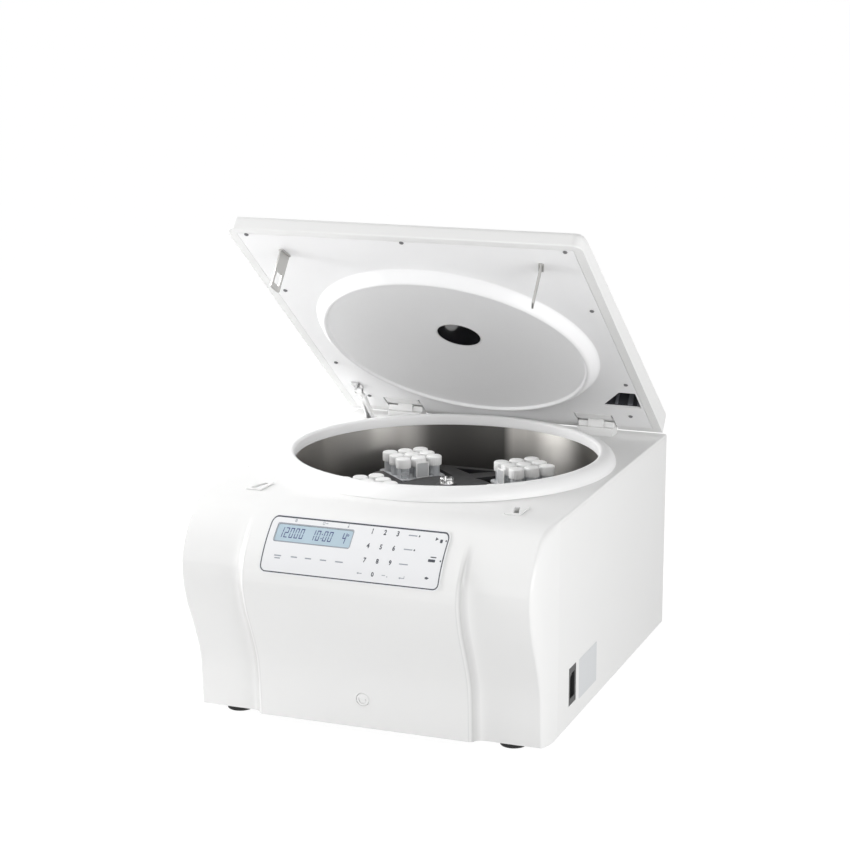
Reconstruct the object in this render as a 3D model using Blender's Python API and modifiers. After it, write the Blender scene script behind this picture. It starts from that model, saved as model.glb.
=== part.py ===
# Refrigerated bench centrifuge with its lid open, a four-bucket swing-out rotor and racks of capped tubes.
# Metres, +Z up. X runs across the machine, the front faces -Y, and the origin lies on the bench
# under the middle of the footprint. The lid stands on its stop, 37.7 degrees open.
import math

import bmesh
import bpy
import numpy as np
from mathutils import Matrix, Vector

# Driving sizes of the whole machine
BODY_WIDTH = 0.500
CASE_DEPTH = 0.636
CASE_HEIGHT = 0.2925
FOOT_HEIGHT = 0.009
LID_LENGTH = 0.549
LID_ANGLE = math.radians(37.7)
FIT_GAP = 0.0003
SEAM_GAP = 0.0005
OVERRUN = 0.010

# Walls and sheets
MOULD_WALL = 0.003
SIDE_SHEET = 0.002
REAR_SHEET = 0.0015
BASE_SHEET = 0.003
FILM_THICK = 0.0008
PLUG_LENGTH = 0.009

# Front moulding: how far back its side returns reach, its raised middle and its oval corners
SIDE_PANEL_DEPTH = 0.528
DECK_LIP = 0.004
DECK_EDGE_RADIUS = 0.003
MIDDLE_HALF = 0.1475
MIDDLE_STEP = 0.0245
MIDDLE_PROUD = 0.012
CORNER_WIDTH = 0.010
CORNER_RUN = 0.035
# Side view of the front: height as a share of the case, then depth from the rear as a share of its belly
FRONT_SHARES = (
    (0.000, 0.917), (0.205, 0.923), (0.308, 0.934), (0.427, 0.958), (0.530, 0.981), (0.615, 0.994),
    (0.684, 1.000), (0.735, 1.000), (0.786, 0.995), (0.838, 0.984), (0.889, 0.968), (0.940, 0.945),
    (0.974, 0.921), (0.993, 0.888), (1.000, 0.852),
)
PROUD_FADE_SHARES = (0.66, 0.97)
# The middle's return, from its edge outwards: across as a share of the step, then how far back it has gone
STEP_SHARES = ((0.0, 0.0), (0.12, 0.09), (0.36, 0.70), (0.60, 0.90), (1.0, 1.0))

# Places worked out from the sizes above
HALF = BODY_WIDTH / 2
FILM_FACE = FIT_GAP + FILM_THICK
REAR_Y = CASE_DEPTH / 2
BELLY_DEPTH = CASE_DEPTH - MIDDLE_PROUD
BASE_Z = FOOT_HEIGHT
DECK_Z = BASE_Z + CASE_HEIGHT
JOIN_Y = REAR_Y - SIDE_PANEL_DEPTH
FLOOR_Z = BASE_Z + BASE_SHEET + FIT_GAP
DECK_UNDER_Z = DECK_Z - MOULD_WALL - FIT_GAP
BOWL_BACK = 0.2704
BOWL_Y = REAR_Y - BOWL_BACK

# Chamber
RIM_RADIUS = 0.216
RIM_HEIGHT = 0.0181
RIM_BEAD = 0.0236
LIP_THICK = 0.0024
LIP_REACH = 0.0020
BOWL_WALL = 0.0015
BOWL_FLOOR_DROP = 0.1615
BOWL_FILLET = 0.022
BOWL_HOLE = 0.030
DECK_HOLE_ROOM = 0.0035
COIL_RADIUS = 0.004
COIL_TURNS = 5
COIL_POINTS = 24
FOAM_THICK = 0.0092
FOAM_FLOOR = 0.0155
FOAM_HOLE = 0.036
GUARD_WALL = 0.0028
GUARD_SHELF = 0.036

# Drive
MOTOR_RADIUS = 0.066
MOTOR_LIFT = 0.018
MOTOR_PLATE_RADIUS = 0.098
MOTOR_PLATE_THICK = 0.005
MOTOR_PLATE_DROP = 0.0196
MOTOR_EDGE = 0.005
BEARING_BOSS = 0.026
SHAFT_RADIUS = 0.010
SHAFT_THREAD = 0.006
DAMPER_RADIUS = 0.012
DAMPER_WAIST = 0.0085
DAMPER_CIRCLE = 0.084

# Rotor and buckets
PIVOT_RADIUS = 0.123
PIVOT_DROP = 0.0565
ARM_THICK = 0.028
HUB_RADIUS = 0.068
HUB_RISE = 0.003
ARM_TIP = 0.134
PIN_RADIUS = 0.005
PIN_CLEAR = 0.0003
BUCKET_HALF = 0.0395
BUCKET_WAIST = 0.0375
BUCKET_BOTTOM = 0.030
BUCKET_DEPTH = 0.085
BUCKET_RIM = 0.008
BUCKET_COLLAR = 0.017
BUCKET_TAPER = 0.026
BUCKET_CORNER = 0.009
BUCKET_WALL = 0.002
COLLAR_WALL = 0.003
BUCKET_CLEAR = 0.0013
NUT_RADIUS = 0.0095
NUT_FLANGE = 0.0135
NUT_HEIGHT = 0.0142
NUT_SLOT = 0.004

# Tubes and their racks
TUBE_PITCH = 0.0245
TUBE_RADIUS = 0.0085
TUBE_TIP = 0.003
TUBE_CONE = 0.022
CAP_RADIUS = 0.011
CAP_HEIGHT = 0.014
CAP_TOP = 0.0395
TUBE_BOTTOM = 0.0800
RACK_PLATE = 0.0022
RACK_HALF = 0.0385
TAB_WIDTH = 0.020
TAB_HEIGHT = 0.024
TAB_THICK = 0.0015

# Lid, in its own frame: s runs forward from the rear edge, n up from the underside
LID_FRONT_THICK = 0.0135
LID_NOSE_THICK = 0.0265
LID_NOSE_RUN = 0.026
LID_REAR_THICK = 0.036
LID_EDGE_RADIUS = 0.008
LID_RIM = 0.0125
LID_SKIN = 0.003
LINER_THICK = 0.003
HINGE_S = 0.0236
HINGE_N = 0.0104
LID_CLOSED_GAP = 0.0010
RING_RADIUS = 0.205
RING_CREST = 0.1905
RING_INNER = 0.1820
RING_HEIGHT = 0.016
DISH_RISE = 0.009
DISH_THICK = 0.0025
WINDOW_RADIUS = 0.0315
WINDOW_COLLAR = 0.012
HATCH_S = 0.079
HATCH_RISE = 0.0485
HATCH_OUTER = 0.234
HATCH_LOW = 0.1745
HATCH_HIGH = 0.210

# Hinges
HINGE_X = 0.1525
HINGE_WIDTH = 0.055
HINGE_SPAN = 0.026
HINGE_BLOCK = 0.0125
KNUCKLE_RADIUS = 0.0078
KNUCKLE_HALF = 0.012
HINGE_PIN = 0.003
CHEEK_THICK = 0.0146
POCKET_SIDE = 0.0022
POCKET_DEPTH = 0.028
POCKET_RUN = 0.047
LEAF_PLATE = 0.0025
LEAF_RUN = 0.015

# Striker hooks and their latches
HOOK_SIDE = 0.067
HOOK_SETBACK = 0.059
HOOK_TURN = math.radians(15)
HOOK_WIDTH = 0.020
HOOK_THICK = 0.0025
HOOK_LENGTH = 0.058
HOOK_FOOT = 0.012
HOOK_WINDOW_WIDTH = 0.0115
HOOK_WINDOW_HEIGHT = 0.018
HOOK_WINDOW_DROP = 0.041
LATCH_FACE_X = 0.011
LATCH_FACE_Y = 0.021
LATCH_FACE_THICK = 0.0015
LATCH_BODY_X = 0.0095
LATCH_BODY_Y = 0.0182
LATCH_DEPTH = 0.046
THROAT_X = 0.0035
THROAT_Y = 0.0155
BOLT_RADIUS = 0.004
BOLT_LENGTH = 0.034
BOLT_TRAVEL = 0.009
BOLT_BOSS = 0.008
BOLT_BOSS_RUN = 0.018

# Gas strut on the left
STRUT_X = -0.205
STRUT_S = 0.085
STRUT_N = -0.010
STRUT_FOOT_BACK = 0.0165
STRUT_FOOT_DROP = 0.0455
STRUT_BARREL = 0.0065
STRUT_BORE = 0.0045
STRUT_ROD = 0.004
STRUT_FIT = 0.011
STRUT_BARREL_RUN = 0.060
STRUT_ROD_REACH = 0.077
STRUT_EYE = 0.0050
STRUT_EYE_HOLE = 0.0036
STRUT_PIN = 0.0018
STRUT_LUG_THICK = 0.003
STRUT_LUG_SIDE = 0.0045
STRUT_EAR = 0.0040
STRUT_EAR_GAP = 0.0006
STRUT_SLOT_HALF = 0.0085
STRUT_SLOT_FRONT = 0.0980
STRUT_SLOT_REAR = 0.0420

# Control panel on the front moulding
PANEL_HALF = 0.125
PANEL_DROP = 0.0125
PANEL_HEIGHT = 0.0652
PANEL_CORNER = 0.009
LCD_LEFT = -0.1125
LCD_RIGHT = -0.0068
LCD_DROP = 0.0095
LCD_HEIGHT = 0.0175
LCD_DEPTH = 0.0025
LCD_CORNER = 0.002
BOARD_WIDTH = 0.210
BOARD_HEIGHT = 0.056
BOARD_THICK = 0.0016
BRACKET_THICK = 0.0015
BRACKET_HEIGHT = 0.060
BRACKET_DROP = 0.0155
BRACKET_BACK = 0.0555
BRACKET_RUN = 0.054
PART_HEIGHT = 0.006

# Release plug, mains switch and inlet
PLUG_RADIUS = 0.009
PLUG_HEIGHT = 0.040
PLUG_STAND = 0.001
PLUG_TRAVEL = 0.012
SWITCH_BACK = 0.464
SWITCH_WIDTH = 0.032
SWITCH_HEIGHT = 0.052
SWITCH_LIFT = 0.052
SWITCH_DEPTH = 0.012
SWITCH_FRAME = 0.003
ROCKER_TURN = math.radians(12)
ROCKER_PIN = 0.0016
INLET_WIDTH = 0.048
INLET_HEIGHT = 0.028
INLET_SIDE = 0.065
INLET_LIFT = 0.048
INLET_WALL = 0.003
INLET_DEPTH = 0.007
BLADE_WIDTH = 0.0022
BLADE_HEIGHT = 0.0065

# Cooling
COMPRESSOR_SIDE = 0.064
COMPRESSOR_ROOM = 0.0077
COMPRESSOR_RADIUS = 0.052
COMPRESSOR_HEIGHT = 0.155
COMPRESSOR_BELT = 0.003
CONDENSER_SIDE = 0.067
CONDENSER_WIDTH = 0.104
CONDENSER_DEPTH = 0.022
CONDENSER_HEIGHT = 0.104
CONDENSER_FINS = 12
FAN_DEPTH = 0.025
FAN_WALL = 0.005
FAN_RADIUS = 0.044
FAN_HUB = 0.018
FAN_BLADES = 7
FAN_BLADE_THICK = 0.002
FAN_TILT = math.radians(32)
FAN_AXLE = 0.003
FAN_ARM = 0.006
LINE_RADIUS = 0.003
LINE_CROSS_X = 0.115
LINE_Z = 0.035
NOTCH_HALF = 0.010
LOUVRE_WIDTH = 0.005
LOUVRE_COUNT = 9
SIDE_LOUVRES = 8
SIDE_LOUVRE_HEIGHT = 0.070

# Electrics and feet
POWER_WIDTH = 0.085
POWER_DEPTH = 0.046
POWER_HEIGHT = 0.105
POWER_SIDE = 0.0575
FOOT_RADIUS = 0.018
FOOT_SIDE = 0.0535
FOOT_FRONT_INSET = 0.089
FOOT_REAR_INSET = 0.048
FOOT_RIM = 0.003

# Places that the sizes above set, each from the side or end that carries the piece
COMPRESSOR_X = HALF - COMPRESSOR_SIDE
CONDENSER_X = HALF - CONDENSER_SIDE
POWER_X = POWER_SIDE - HALF
INLET_X = INLET_SIDE - HALF
HOOK_X = HALF - HOOK_SIDE
HOOK_S = LID_LENGTH - HOOK_SETBACK
FOOT_X = HALF - FOOT_SIDE
FOOT_FRONT = FOOT_FRONT_INSET - REAR_Y
FOOT_REAR = REAR_Y - FOOT_REAR_INSET
PANEL_HIGH = DECK_Z - PANEL_DROP
PANEL_LOW = PANEL_HIGH - PANEL_HEIGHT
LCD_HIGH = PANEL_HIGH - LCD_DROP
LCD_LOW = LCD_HIGH - LCD_HEIGHT
BOWL_FLOOR_Z = DECK_Z - BOWL_FLOOR_DROP
BOWL_UNDER_Z = BOWL_FLOOR_Z - BOWL_WALL
FOAM_LOW_Z = BOWL_UNDER_Z - FIT_GAP - FOAM_FLOOR
SHELF_Z = FOAM_LOW_Z - FIT_GAP - GUARD_WALL
MOTOR_PLATE_Z = SHELF_Z - MOTOR_PLATE_DROP

# Facets
ROUND = 32
SMALL_ROUND = 16
TUBE_ROUND = 8
BIG_ROUND = 48


def clear_scene():
    for item in list(bpy.data.objects):
        bpy.data.objects.remove(item, do_unlink=True)


def new_collection(name):
    group = bpy.data.collections.new(name)
    bpy.context.scene.collection.children.link(group)
    return group


clear_scene()
PARTS = new_collection("refrigerated_centrifuge")
CUTTERS = new_collection("cutters")


def finish(name, colour, roughness, metallic=0.0, alpha=1.0):
    """A Principled material, made once for each name."""
    if name in bpy.data.materials:
        return bpy.data.materials[name]
    made = bpy.data.materials.new(name)
    made.use_nodes = True
    shader = made.node_tree.nodes["Principled BSDF"]
    shader.inputs["Base Color"].default_value = (*colour, 1)
    shader.inputs["Roughness"].default_value = roughness
    shader.inputs["Metallic"].default_value = metallic
    shader.inputs["Alpha"].default_value = alpha
    return made


def white_plastic():
    return finish("white_moulding", (0.86, 0.86, 0.85), 0.4)


def white_paint():
    return finish("white_painted_steel", (0.84, 0.84, 0.83), 0.45)


def steel():
    return finish("stainless_steel", (0.62, 0.60, 0.57), 0.25, 1.0)


def chrome():
    return finish("bright_steel", (0.75, 0.75, 0.75), 0.15, 1.0)


def zinc():
    return finish("zinc_sheet", (0.55, 0.56, 0.57), 0.45, 1.0)


def black_metal():
    return finish("black_rotor", (0.03, 0.03, 0.032), 0.4, 0.3)


def black_plastic():
    return finish("black_plastic", (0.03, 0.03, 0.03), 0.5)


def rubber():
    return finish("black_rubber", (0.025, 0.025, 0.025), 0.8)


def copper():
    return finish("copper", (0.72, 0.36, 0.22), 0.3, 1.0)


def add_object(name, mesh, skin, parent=None):
    """Link an object to the parts, with its material and parent."""
    item = bpy.data.objects.new(name, mesh)
    if skin is not None and hasattr(mesh, "materials"):
        mesh.materials.clear()
        mesh.materials.append(skin)
    PARTS.objects.link(item)
    item.parent = parent
    return item


def as_cutter(item):
    """Hide an object that only cuts or joins another."""
    PARTS.objects.unlink(item)
    CUTTERS.objects.link(item)
    item.hide_render = True
    item.display_type = "WIRE"
    return item


def combine(target, tool, operation):
    as_cutter(tool)
    step = target.modifiers.new(tool.name, "BOOLEAN")
    step.operation = operation
    step.solver = "EXACT"
    step.object = tool
    return target


def cut(target, tool):
    return combine(target, tool, "DIFFERENCE")


def join(target, tool):
    return combine(target, tool, "UNION")


def baked_mesh(item):
    """The object's mesh with its modifiers applied, and the object removed."""
    bpy.context.view_layer.update()
    graph = bpy.context.evaluated_depsgraph_get()
    mesh = bpy.data.meshes.new_from_object(item.evaluated_get(graph))
    bpy.data.objects.remove(item, do_unlink=True)
    return mesh


def to_mesh(name, build):
    mesh = bpy.data.meshes.new(name)
    build.to_mesh(mesh)
    build.free()
    return mesh


def smooth(item, degrees=35):
    item.data.shade_smooth()
    item.data.set_sharp_from_angle(angle=math.radians(degrees))
    return item


def block(name, low, high, skin, parent=None, bevel=0.0):
    """A box between two corners, with its edges rounded if a bevel is given."""
    low, high = Vector(low), Vector(high)
    build = bmesh.new()
    bmesh.ops.create_cube(build, size=1)
    size = high - low
    bmesh.ops.scale(build, vec=size, verts=build.verts)
    bmesh.ops.translate(build, vec=(low + high) / 2, verts=build.verts)
    item = add_object(name, to_mesh(name, build), skin, parent)
    if bevel:
        edge = item.modifiers.new("edges", "BEVEL")
        edge.width = bevel
        edge.segments = 2
    return item


def turn_to(axis):
    """The rotation that takes +Z to the named axis."""
    turns = {
        "X": Matrix.Rotation(math.pi / 2, 4, "Y"),
        "Y": Matrix.Rotation(-math.pi / 2, 4, "X"),
        "Z": Matrix.Identity(4),
    }
    return turns[axis]


def rod(name, radius, start, length, skin, axis="Z", parent=None, sides=ROUND, end_radius=None):
    """A cylinder, or a cone with another end radius, from its start along an axis."""
    build = bmesh.new()
    bmesh.ops.create_cone(
        build, cap_ends=True, segments=sides, radius1=radius,
        radius2=radius if end_radius is None else end_radius, depth=length,
        matrix=Matrix.Translation(start) @ turn_to(axis) @ Matrix.Translation((0, 0, length / 2)),
    )
    return smooth(add_object(name, to_mesh(name, build), skin, parent))


def turned(name, profile, skin, centre=(0, 0), parent=None, sides=ROUND, closed=True):
    """A profile of (radius, height) points turned about a vertical axis; it runs down its outer side."""
    mesh = bpy.data.meshes.new(name)
    edges = [(i, i + 1) for i in range(len(profile) - 1)]
    if closed:
        edges.append((len(profile) - 1, 0))
    mesh.from_pydata([(r, 0, z) for r, z in profile], edges, [])
    item = add_object(name, mesh, skin, parent)
    item.location = (centre[0], centre[1], 0)
    screw = item.modifiers.new("turning", "SCREW")
    screw.angle = math.tau
    screw.steps = sides
    screw.render_steps = sides
    screw.use_merge_vertices = True
    screw.merge_threshold = FIT_GAP / 30
    screw.use_smooth_shade = False
    return item


def outline_plate(name, outline, low, high, skin, parent=None, axis="Z"):
    """A flat outline, drawn as a filled curve and given its thickness, then turned into a mesh."""
    curve = bpy.data.curves.new(name, "CURVE")
    curve.dimensions = "2D"
    curve.fill_mode = "BOTH"
    curve.extrude = (high - low) / 2
    spline = curve.splines.new("POLY")
    spline.points.add(len(outline) - 1)
    for point, (a, b) in zip(spline.points, outline):
        point.co = (a, b, 0, 1)
    spline.use_cyclic_u = True
    sketch = bpy.data.objects.new(name, curve)
    PARTS.objects.link(sketch)
    mesh = baked_mesh(sketch)
    bpy.data.curves.remove(curve)
    build = bmesh.new()
    build.from_mesh(mesh)
    bmesh.ops.remove_doubles(build, verts=build.verts, dist=FIT_GAP / 30)
    bmesh.ops.translate(build, vec=(0, 0, (low + high) / 2), verts=build.verts)
    # On X the outline is read as (y, z), and on Y as (x, z)
    frames = {
        "Z": Matrix.Identity(4),
        "X": Matrix(((0, 0, 1, 0), (1, 0, 0, 0), (0, 1, 0, 0), (0, 0, 0, 1))),
        "Y": Matrix(((1, 0, 0, 0), (0, 0, 1, 0), (0, 1, 0, 0), (0, 0, 0, 1))),
    }
    bmesh.ops.transform(build, matrix=frames[axis], verts=build.verts)
    bmesh.ops.recalc_face_normals(build, faces=build.faces)
    return add_object(name, to_mesh(name, build), skin, parent)


def lofted(name, loops, skin, parent=None):
    """A closed body through loops that all have as many points, capped at both ends."""
    build = bmesh.new()
    rings = [[build.verts.new(point) for point in loop] for loop in loops]
    count = len(loops[0])
    for below, above in zip(rings, rings[1:]):
        for i in range(count):
            j = (i + 1) % count
            build.faces.new((below[i], below[j], above[j], above[i]))
    build.faces.new(rings[0][::-1])
    build.faces.new(rings[-1])
    bmesh.ops.recalc_face_normals(build, faces=build.faces)
    return add_object(name, to_mesh(name, build), skin, parent)


def bent_tube(name, points, radius, skin, parent=None, detail=1):
    """A round tube along a polyline, with filled caps."""
    curve = bpy.data.curves.new(name, "CURVE")
    curve.dimensions = "3D"
    curve.bevel_depth = radius
    curve.bevel_resolution = detail
    curve.use_fill_caps = True
    spline = curve.splines.new("POLY")
    spline.points.add(len(points) - 1)
    for point, place in zip(spline.points, points):
        point.co = (*place, 1)
    curve.materials.append(skin)
    item = bpy.data.objects.new(name, curve)
    PARTS.objects.link(item)
    item.parent = parent
    return item


def through(points, steps):
    """A smooth Catmull-Rom line through points, with its first and last point doubled."""
    knots = [np.array(p, float) for p in points]
    knots = [knots[0], *knots, knots[-1]]
    line = []
    for a, b, c, d in zip(knots, knots[1:], knots[2:], knots[3:]):
        for k in range(steps):
            t = k / steps
            line.append(
                b + (c - a) * t / 2 + (a - b * 5 / 2 + c * 2 - d / 2) * t**2
                + (b * 3 / 2 - a / 2 - c * 3 / 2 + d / 2) * t**3
            )
    line.append(knots[-1])
    return line


def arc(centre, radii, start, end, count):
    """Points of an ellipse's arc, angles in degrees."""
    return [
        (
            centre[0] + radii[0] * math.cos(math.radians(start + (end - start) * k / (count - 1))),
            centre[1] + radii[1] * math.sin(math.radians(start + (end - start) * k / (count - 1))),
        )
        for k in range(count)
    ]


def rounded_rectangle(low, high, radius, count=4):
    """Outline of a rectangle with round corners, anticlockwise."""
    corners = (
        ((high[0] - radius, high[1] - radius), 0), ((low[0] + radius, high[1] - radius), 90),
        ((low[0] + radius, low[1] + radius), 180), ((high[0] - radius, low[1] + radius), 270),
    )
    return [p for centre, a in corners for p in arc(centre, (radius, radius), a, a + 90, count)]


def ease(t):
    t = min(max(t, 0.0), 1.0)
    return t * t * (3 - 2 * t)


# Case: the front moulding and the deck
def front_rows(wall):
    """Side view of the front, moved in by the wall: (y, z, how far the middle stands out)."""
    line = [np.array((REAR_Y - d * BELLY_DEPTH, h * CASE_HEIGHT)) for h, d in FRONT_SHARES]
    rows = []
    for k, (y, z) in enumerate(line):
        before, after = line[max(k - 1, 0)], line[min(k + 1, len(line) - 1)]
        along = (after - before) / np.linalg.norm(after - before)
        fade_from, fade_to = PROUD_FADE_SHARES
        fade = 1 - ease((z / CASE_HEIGHT - fade_from) / (fade_to - fade_from))
        inward = along[1], -along[0]
        rows.append((y + inward[0] * wall, BASE_Z + z + inward[1] * wall, MIDDLE_PROUD * fade))
    return rows


def case_section(y, z, proud, wall, rear):
    """One level of the case, anticlockwise from above: straight sides, oval corners and a raised middle."""
    half = HALF - wall
    top = DECK_Z - wall
    drop = DECK_EDGE_RADIUS - (top - z)
    inset = 0.0
    if drop > 0 and wall >= 0:
        inset = DECK_EDGE_RADIUS - math.sqrt(max(DECK_EDGE_RADIUS**2 - drop**2, 0))
    wide = max(CORNER_WIDTH - wall, CORNER_WIDTH / 4)
    run = min(CORNER_RUN, max(JOIN_Y - y, CORNER_WIDTH / 8))
    right = [(MIDDLE_HALF / 2, y - proud)]
    right += [(MIDDLE_HALF + MIDDLE_STEP * across, y - proud * (1 - back)) for across, back in STEP_SHARES]
    right += arc((half - wide, y + run), (wide - inset, run), -90, 0, 7)
    right += [(half - inset, rear - DECK_EDGE_RADIUS), (half - inset, rear)]
    left = [(-x, level) for x, level in reversed(right)]
    return [(x, level, z) for x, level in left + right]


def case_solid(name, wall, skin=None):
    """The whole outline of the case, moved in by a wall, or out where the wall is negative."""
    rear = REAR_Y if wall <= 0 else REAR_Y + OVERRUN
    rows = front_rows(wall)
    if wall > 0:
        y, z, proud = rows[0]
        rows = [(y, BASE_Z - OVERRUN, proud), *rows[1:]]
        rows[-1] = (rows[-1][0], DECK_Z - wall, 0.0)
    return lofted(name, [case_section(y, z, proud, wall, rear) for y, z, proud in rows], skin)


def upper_cover():
    cover = case_solid("upper_cover", 0.0, white_plastic())
    cut(cover, case_solid("cover_hollow", MOULD_WALL))
    cut(cover, block(
        "side_sheet_room", (-HALF - OVERRUN, JOIN_Y, BASE_Z - OVERRUN),
        (HALF + OVERRUN, REAR_Y + OVERRUN, DECK_Z - DECK_LIP), None,
    ))
    hole = RIM_RADIUS + LIP_THICK + BOWL_WALL + DECK_HOLE_ROOM
    cut(cover, rod("deck_hole", hole, (0, BOWL_Y, DECK_Z - CASE_HEIGHT / 4), CASE_HEIGHT / 2, None,
                   sides=BIG_ROUND))
    for side in (-1, 1):
        x, y = side * HOOK_X, hook_y()
        cut(cover, block(
            f"latch_hole_{side}", (x - LATCH_BODY_X - SEAM_GAP, y - LATCH_BODY_Y - SEAM_GAP, DECK_Z - OVERRUN),
            (x + LATCH_BODY_X + SEAM_GAP, y + LATCH_BODY_Y + SEAM_GAP, DECK_Z + OVERRUN), None,
        ))
    cut(cover, block(
        "strut_slot", (STRUT_X - STRUT_SLOT_HALF, REAR_Y - STRUT_SLOT_FRONT, DECK_Z - OVERRUN),
        (STRUT_X + STRUT_SLOT_HALF, REAR_Y - STRUT_SLOT_REAR, DECK_Z + OVERRUN), None,
    ))
    cut(cover, rod(
        "plug_hole", PLUG_RADIUS + FIT_GAP, (0, REAR_Y - CASE_DEPTH - OVERRUN, BASE_Z + PLUG_HEIGHT),
        CASE_DEPTH / 4, None, axis="Y", sides=SMALL_ROUND,
    ))
    cut(cover, lcd_prism("lcd_hole", SEAM_GAP + FIT_GAP))
    return smooth(cover, 30)


def case_layer(name, outer, inner, prism, skin):
    """The part of a layer over the front moulding that a prism holds."""
    layer = case_solid(name, -outer, skin)
    core = case_solid(name + "_core", -inner)
    cut(layer, core)
    return combine(layer, prism, "INTERSECT")


def front_prism(name, outline):
    """An outline in x and z, run through the front of the case."""
    return outline_plate(
        name, outline, REAR_Y - CASE_DEPTH - OVERRUN, REAR_Y - CASE_DEPTH * 3 / 4, None, axis="Y",
    )


def lcd_prism(name, room):
    return front_prism(name, rounded_rectangle(
        (LCD_LEFT - room, LCD_LOW - room), (LCD_RIGHT + room, LCD_HIGH + room),
        LCD_CORNER + room,
    ))


def control_panel():
    outline = rounded_rectangle(
        (-PANEL_HALF, PANEL_LOW), (PANEL_HALF, PANEL_HIGH), PANEL_CORNER,
    )
    film = case_layer(
        "keypad_film", FILM_FACE, FIT_GAP, front_prism("film_outline", outline),
        finish("keypad_film", (0.80, 0.82, 0.85), 0.35),
    )
    cut(film, lcd_prism("lcd_window_room", FIT_GAP))
    case_layer(
        "display_window", FILM_FACE, -LCD_DEPTH, lcd_prism("lcd_outline", 0.0),
        finish("display_window", (0.42, 0.56, 0.72), 0.2),
    )
    bracket_y = REAR_Y - CASE_DEPTH + BRACKET_BACK
    high = DECK_UNDER_Z - BRACKET_DROP
    low = high - BRACKET_HEIGHT
    hung_y = bracket_y + BRACKET_RUN
    outline_plate("board_bracket", [
        (bracket_y, low), (bracket_y + BRACKET_THICK, low), (bracket_y + BRACKET_THICK, high - BRACKET_THICK),
        (hung_y + BRACKET_THICK, high - BRACKET_THICK), (hung_y + BRACKET_THICK, DECK_UNDER_Z),
        (hung_y, DECK_UNDER_Z), (hung_y, high), (bracket_y, high),
    ], -BOARD_WIDTH / 2, BOARD_WIDTH / 2, zinc(), axis="X")
    board = block(
        "control_board", (-BOARD_WIDTH / 2, bracket_y - BOARD_THICK - FIT_GAP, low),
        (BOARD_WIDTH / 2, bracket_y - FIT_GAP, low + BOARD_HEIGHT), finish("green_board", (0.05, 0.25, 0.12), 0.4),
    )
    for k, share in enumerate((-0.34, -0.05, 0.22, 0.38)):
        x = share * BOARD_WIDTH
        chip = block(
            f"board_part_{k}", (x - PART_HEIGHT, bracket_y - BOARD_THICK - PART_HEIGHT, low + BOARD_HEIGHT / 3),
            (x + PART_HEIGHT * 2, bracket_y - BOARD_THICK / 2, low + BOARD_HEIGHT * 2 / 3), None,
        )
        join(board, chip)


def base_and_sheets():
    inner = HALF - MOULD_WALL - FIT_GAP
    front = REAR_Y - FRONT_SHARES[0][1] * BELLY_DEPTH + MOULD_WALL + FIT_GAP
    rear = REAR_Y - REAR_SHEET * 2 - FIT_GAP
    outline = [
        (-inner, rear), (-inner, front + CORNER_RUN), (-inner + CORNER_WIDTH, front),
        (inner - CORNER_WIDTH, front), (inner, front + CORNER_RUN), (inner, rear),
    ]
    outline_plate("base_plate", outline, BASE_Z, BASE_Z + BASE_SHEET, zinc())
    top = DECK_Z - DECK_LIP - FIT_GAP
    for side, name in ((-1, "left_side_sheet"), (1, "right_side_sheet")):
        x = sorted((side * HALF, side * (HALF - SIDE_SHEET)))
        sheet = block(name, (x[0], JOIN_Y + FIT_GAP, BASE_Z), (x[1], REAR_Y, top), white_paint())
        through_wall = (x[0] - OVERRUN, x[1] + OVERRUN)
        if side > 0:
            cut(sheet, switch_block("switch_hole", through_wall, FIT_GAP))
        else:
            pitch = LOUVRE_WIDTH * 2
            for k in range(SIDE_LOUVRES):
                y = REAR_Y - SIDE_PANEL_DEPTH / 4 + k * pitch
                low = BASE_Z + FOAM_HOLE
                cut(sheet, block(f"side_louvre_{k}", (through_wall[0], y, low),
                                 (through_wall[1], y + LOUVRE_WIDTH, low + SIDE_LOUVRE_HEIGHT), None))
    half = HALF - SIDE_SHEET - FIT_GAP
    outer = REAR_Y - REAR_SHEET
    panel = block("rear_sheet", (-half, outer - REAR_SHEET, BASE_Z), (half, outer, top), white_paint())
    pitch = FAN_RADIUS * 2 / LOUVRE_COUNT
    for k in range(LOUVRE_COUNT):
        x = CONDENSER_X + (k - (LOUVRE_COUNT - 1) / 2) * pitch
        span = math.sqrt(FAN_RADIUS**2 - (x - CONDENSER_X) ** 2)
        centre = FLOOR_Z + CONDENSER_HEIGHT / 2
        cut(panel, block(f"rear_louvre_{k}", (x - LOUVRE_WIDTH / 2, outer - OVERRUN, centre - span),
                         (x + LOUVRE_WIDTH / 2, outer + OVERRUN, centre + span), None))
    cut(panel, inlet_block("inlet_hole", (outer - OVERRUN, outer + OVERRUN), FIT_GAP))
    foot = strut_foot()
    rear_lug = outline_plate(
        "strut_foot_lug", [
            (foot[0] - STRUT_EYE, foot[1]), *arc(foot, (STRUT_EYE, STRUT_EYE), 180, 90, 5),
            (outer - REAR_SHEET / 2, foot[1] + STRUT_EYE), (outer - REAR_SHEET / 2, foot[1] - STRUT_EYE * 2),
            (foot[0], foot[1] - STRUT_EYE),
        ], STRUT_X - STRUT_EAR_GAP - STRUT_LUG_THICK - STRUT_EAR, STRUT_X - STRUT_EAR_GAP - STRUT_EAR, None, axis="X",
    )
    join(panel, rear_lug)
    join(panel, rod("strut_foot_pin", STRUT_PIN, (STRUT_X - STRUT_EAR_GAP - STRUT_EAR * 2, *foot),
                    STRUT_EAR * 4, None, axis="X", sides=SMALL_ROUND))


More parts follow.
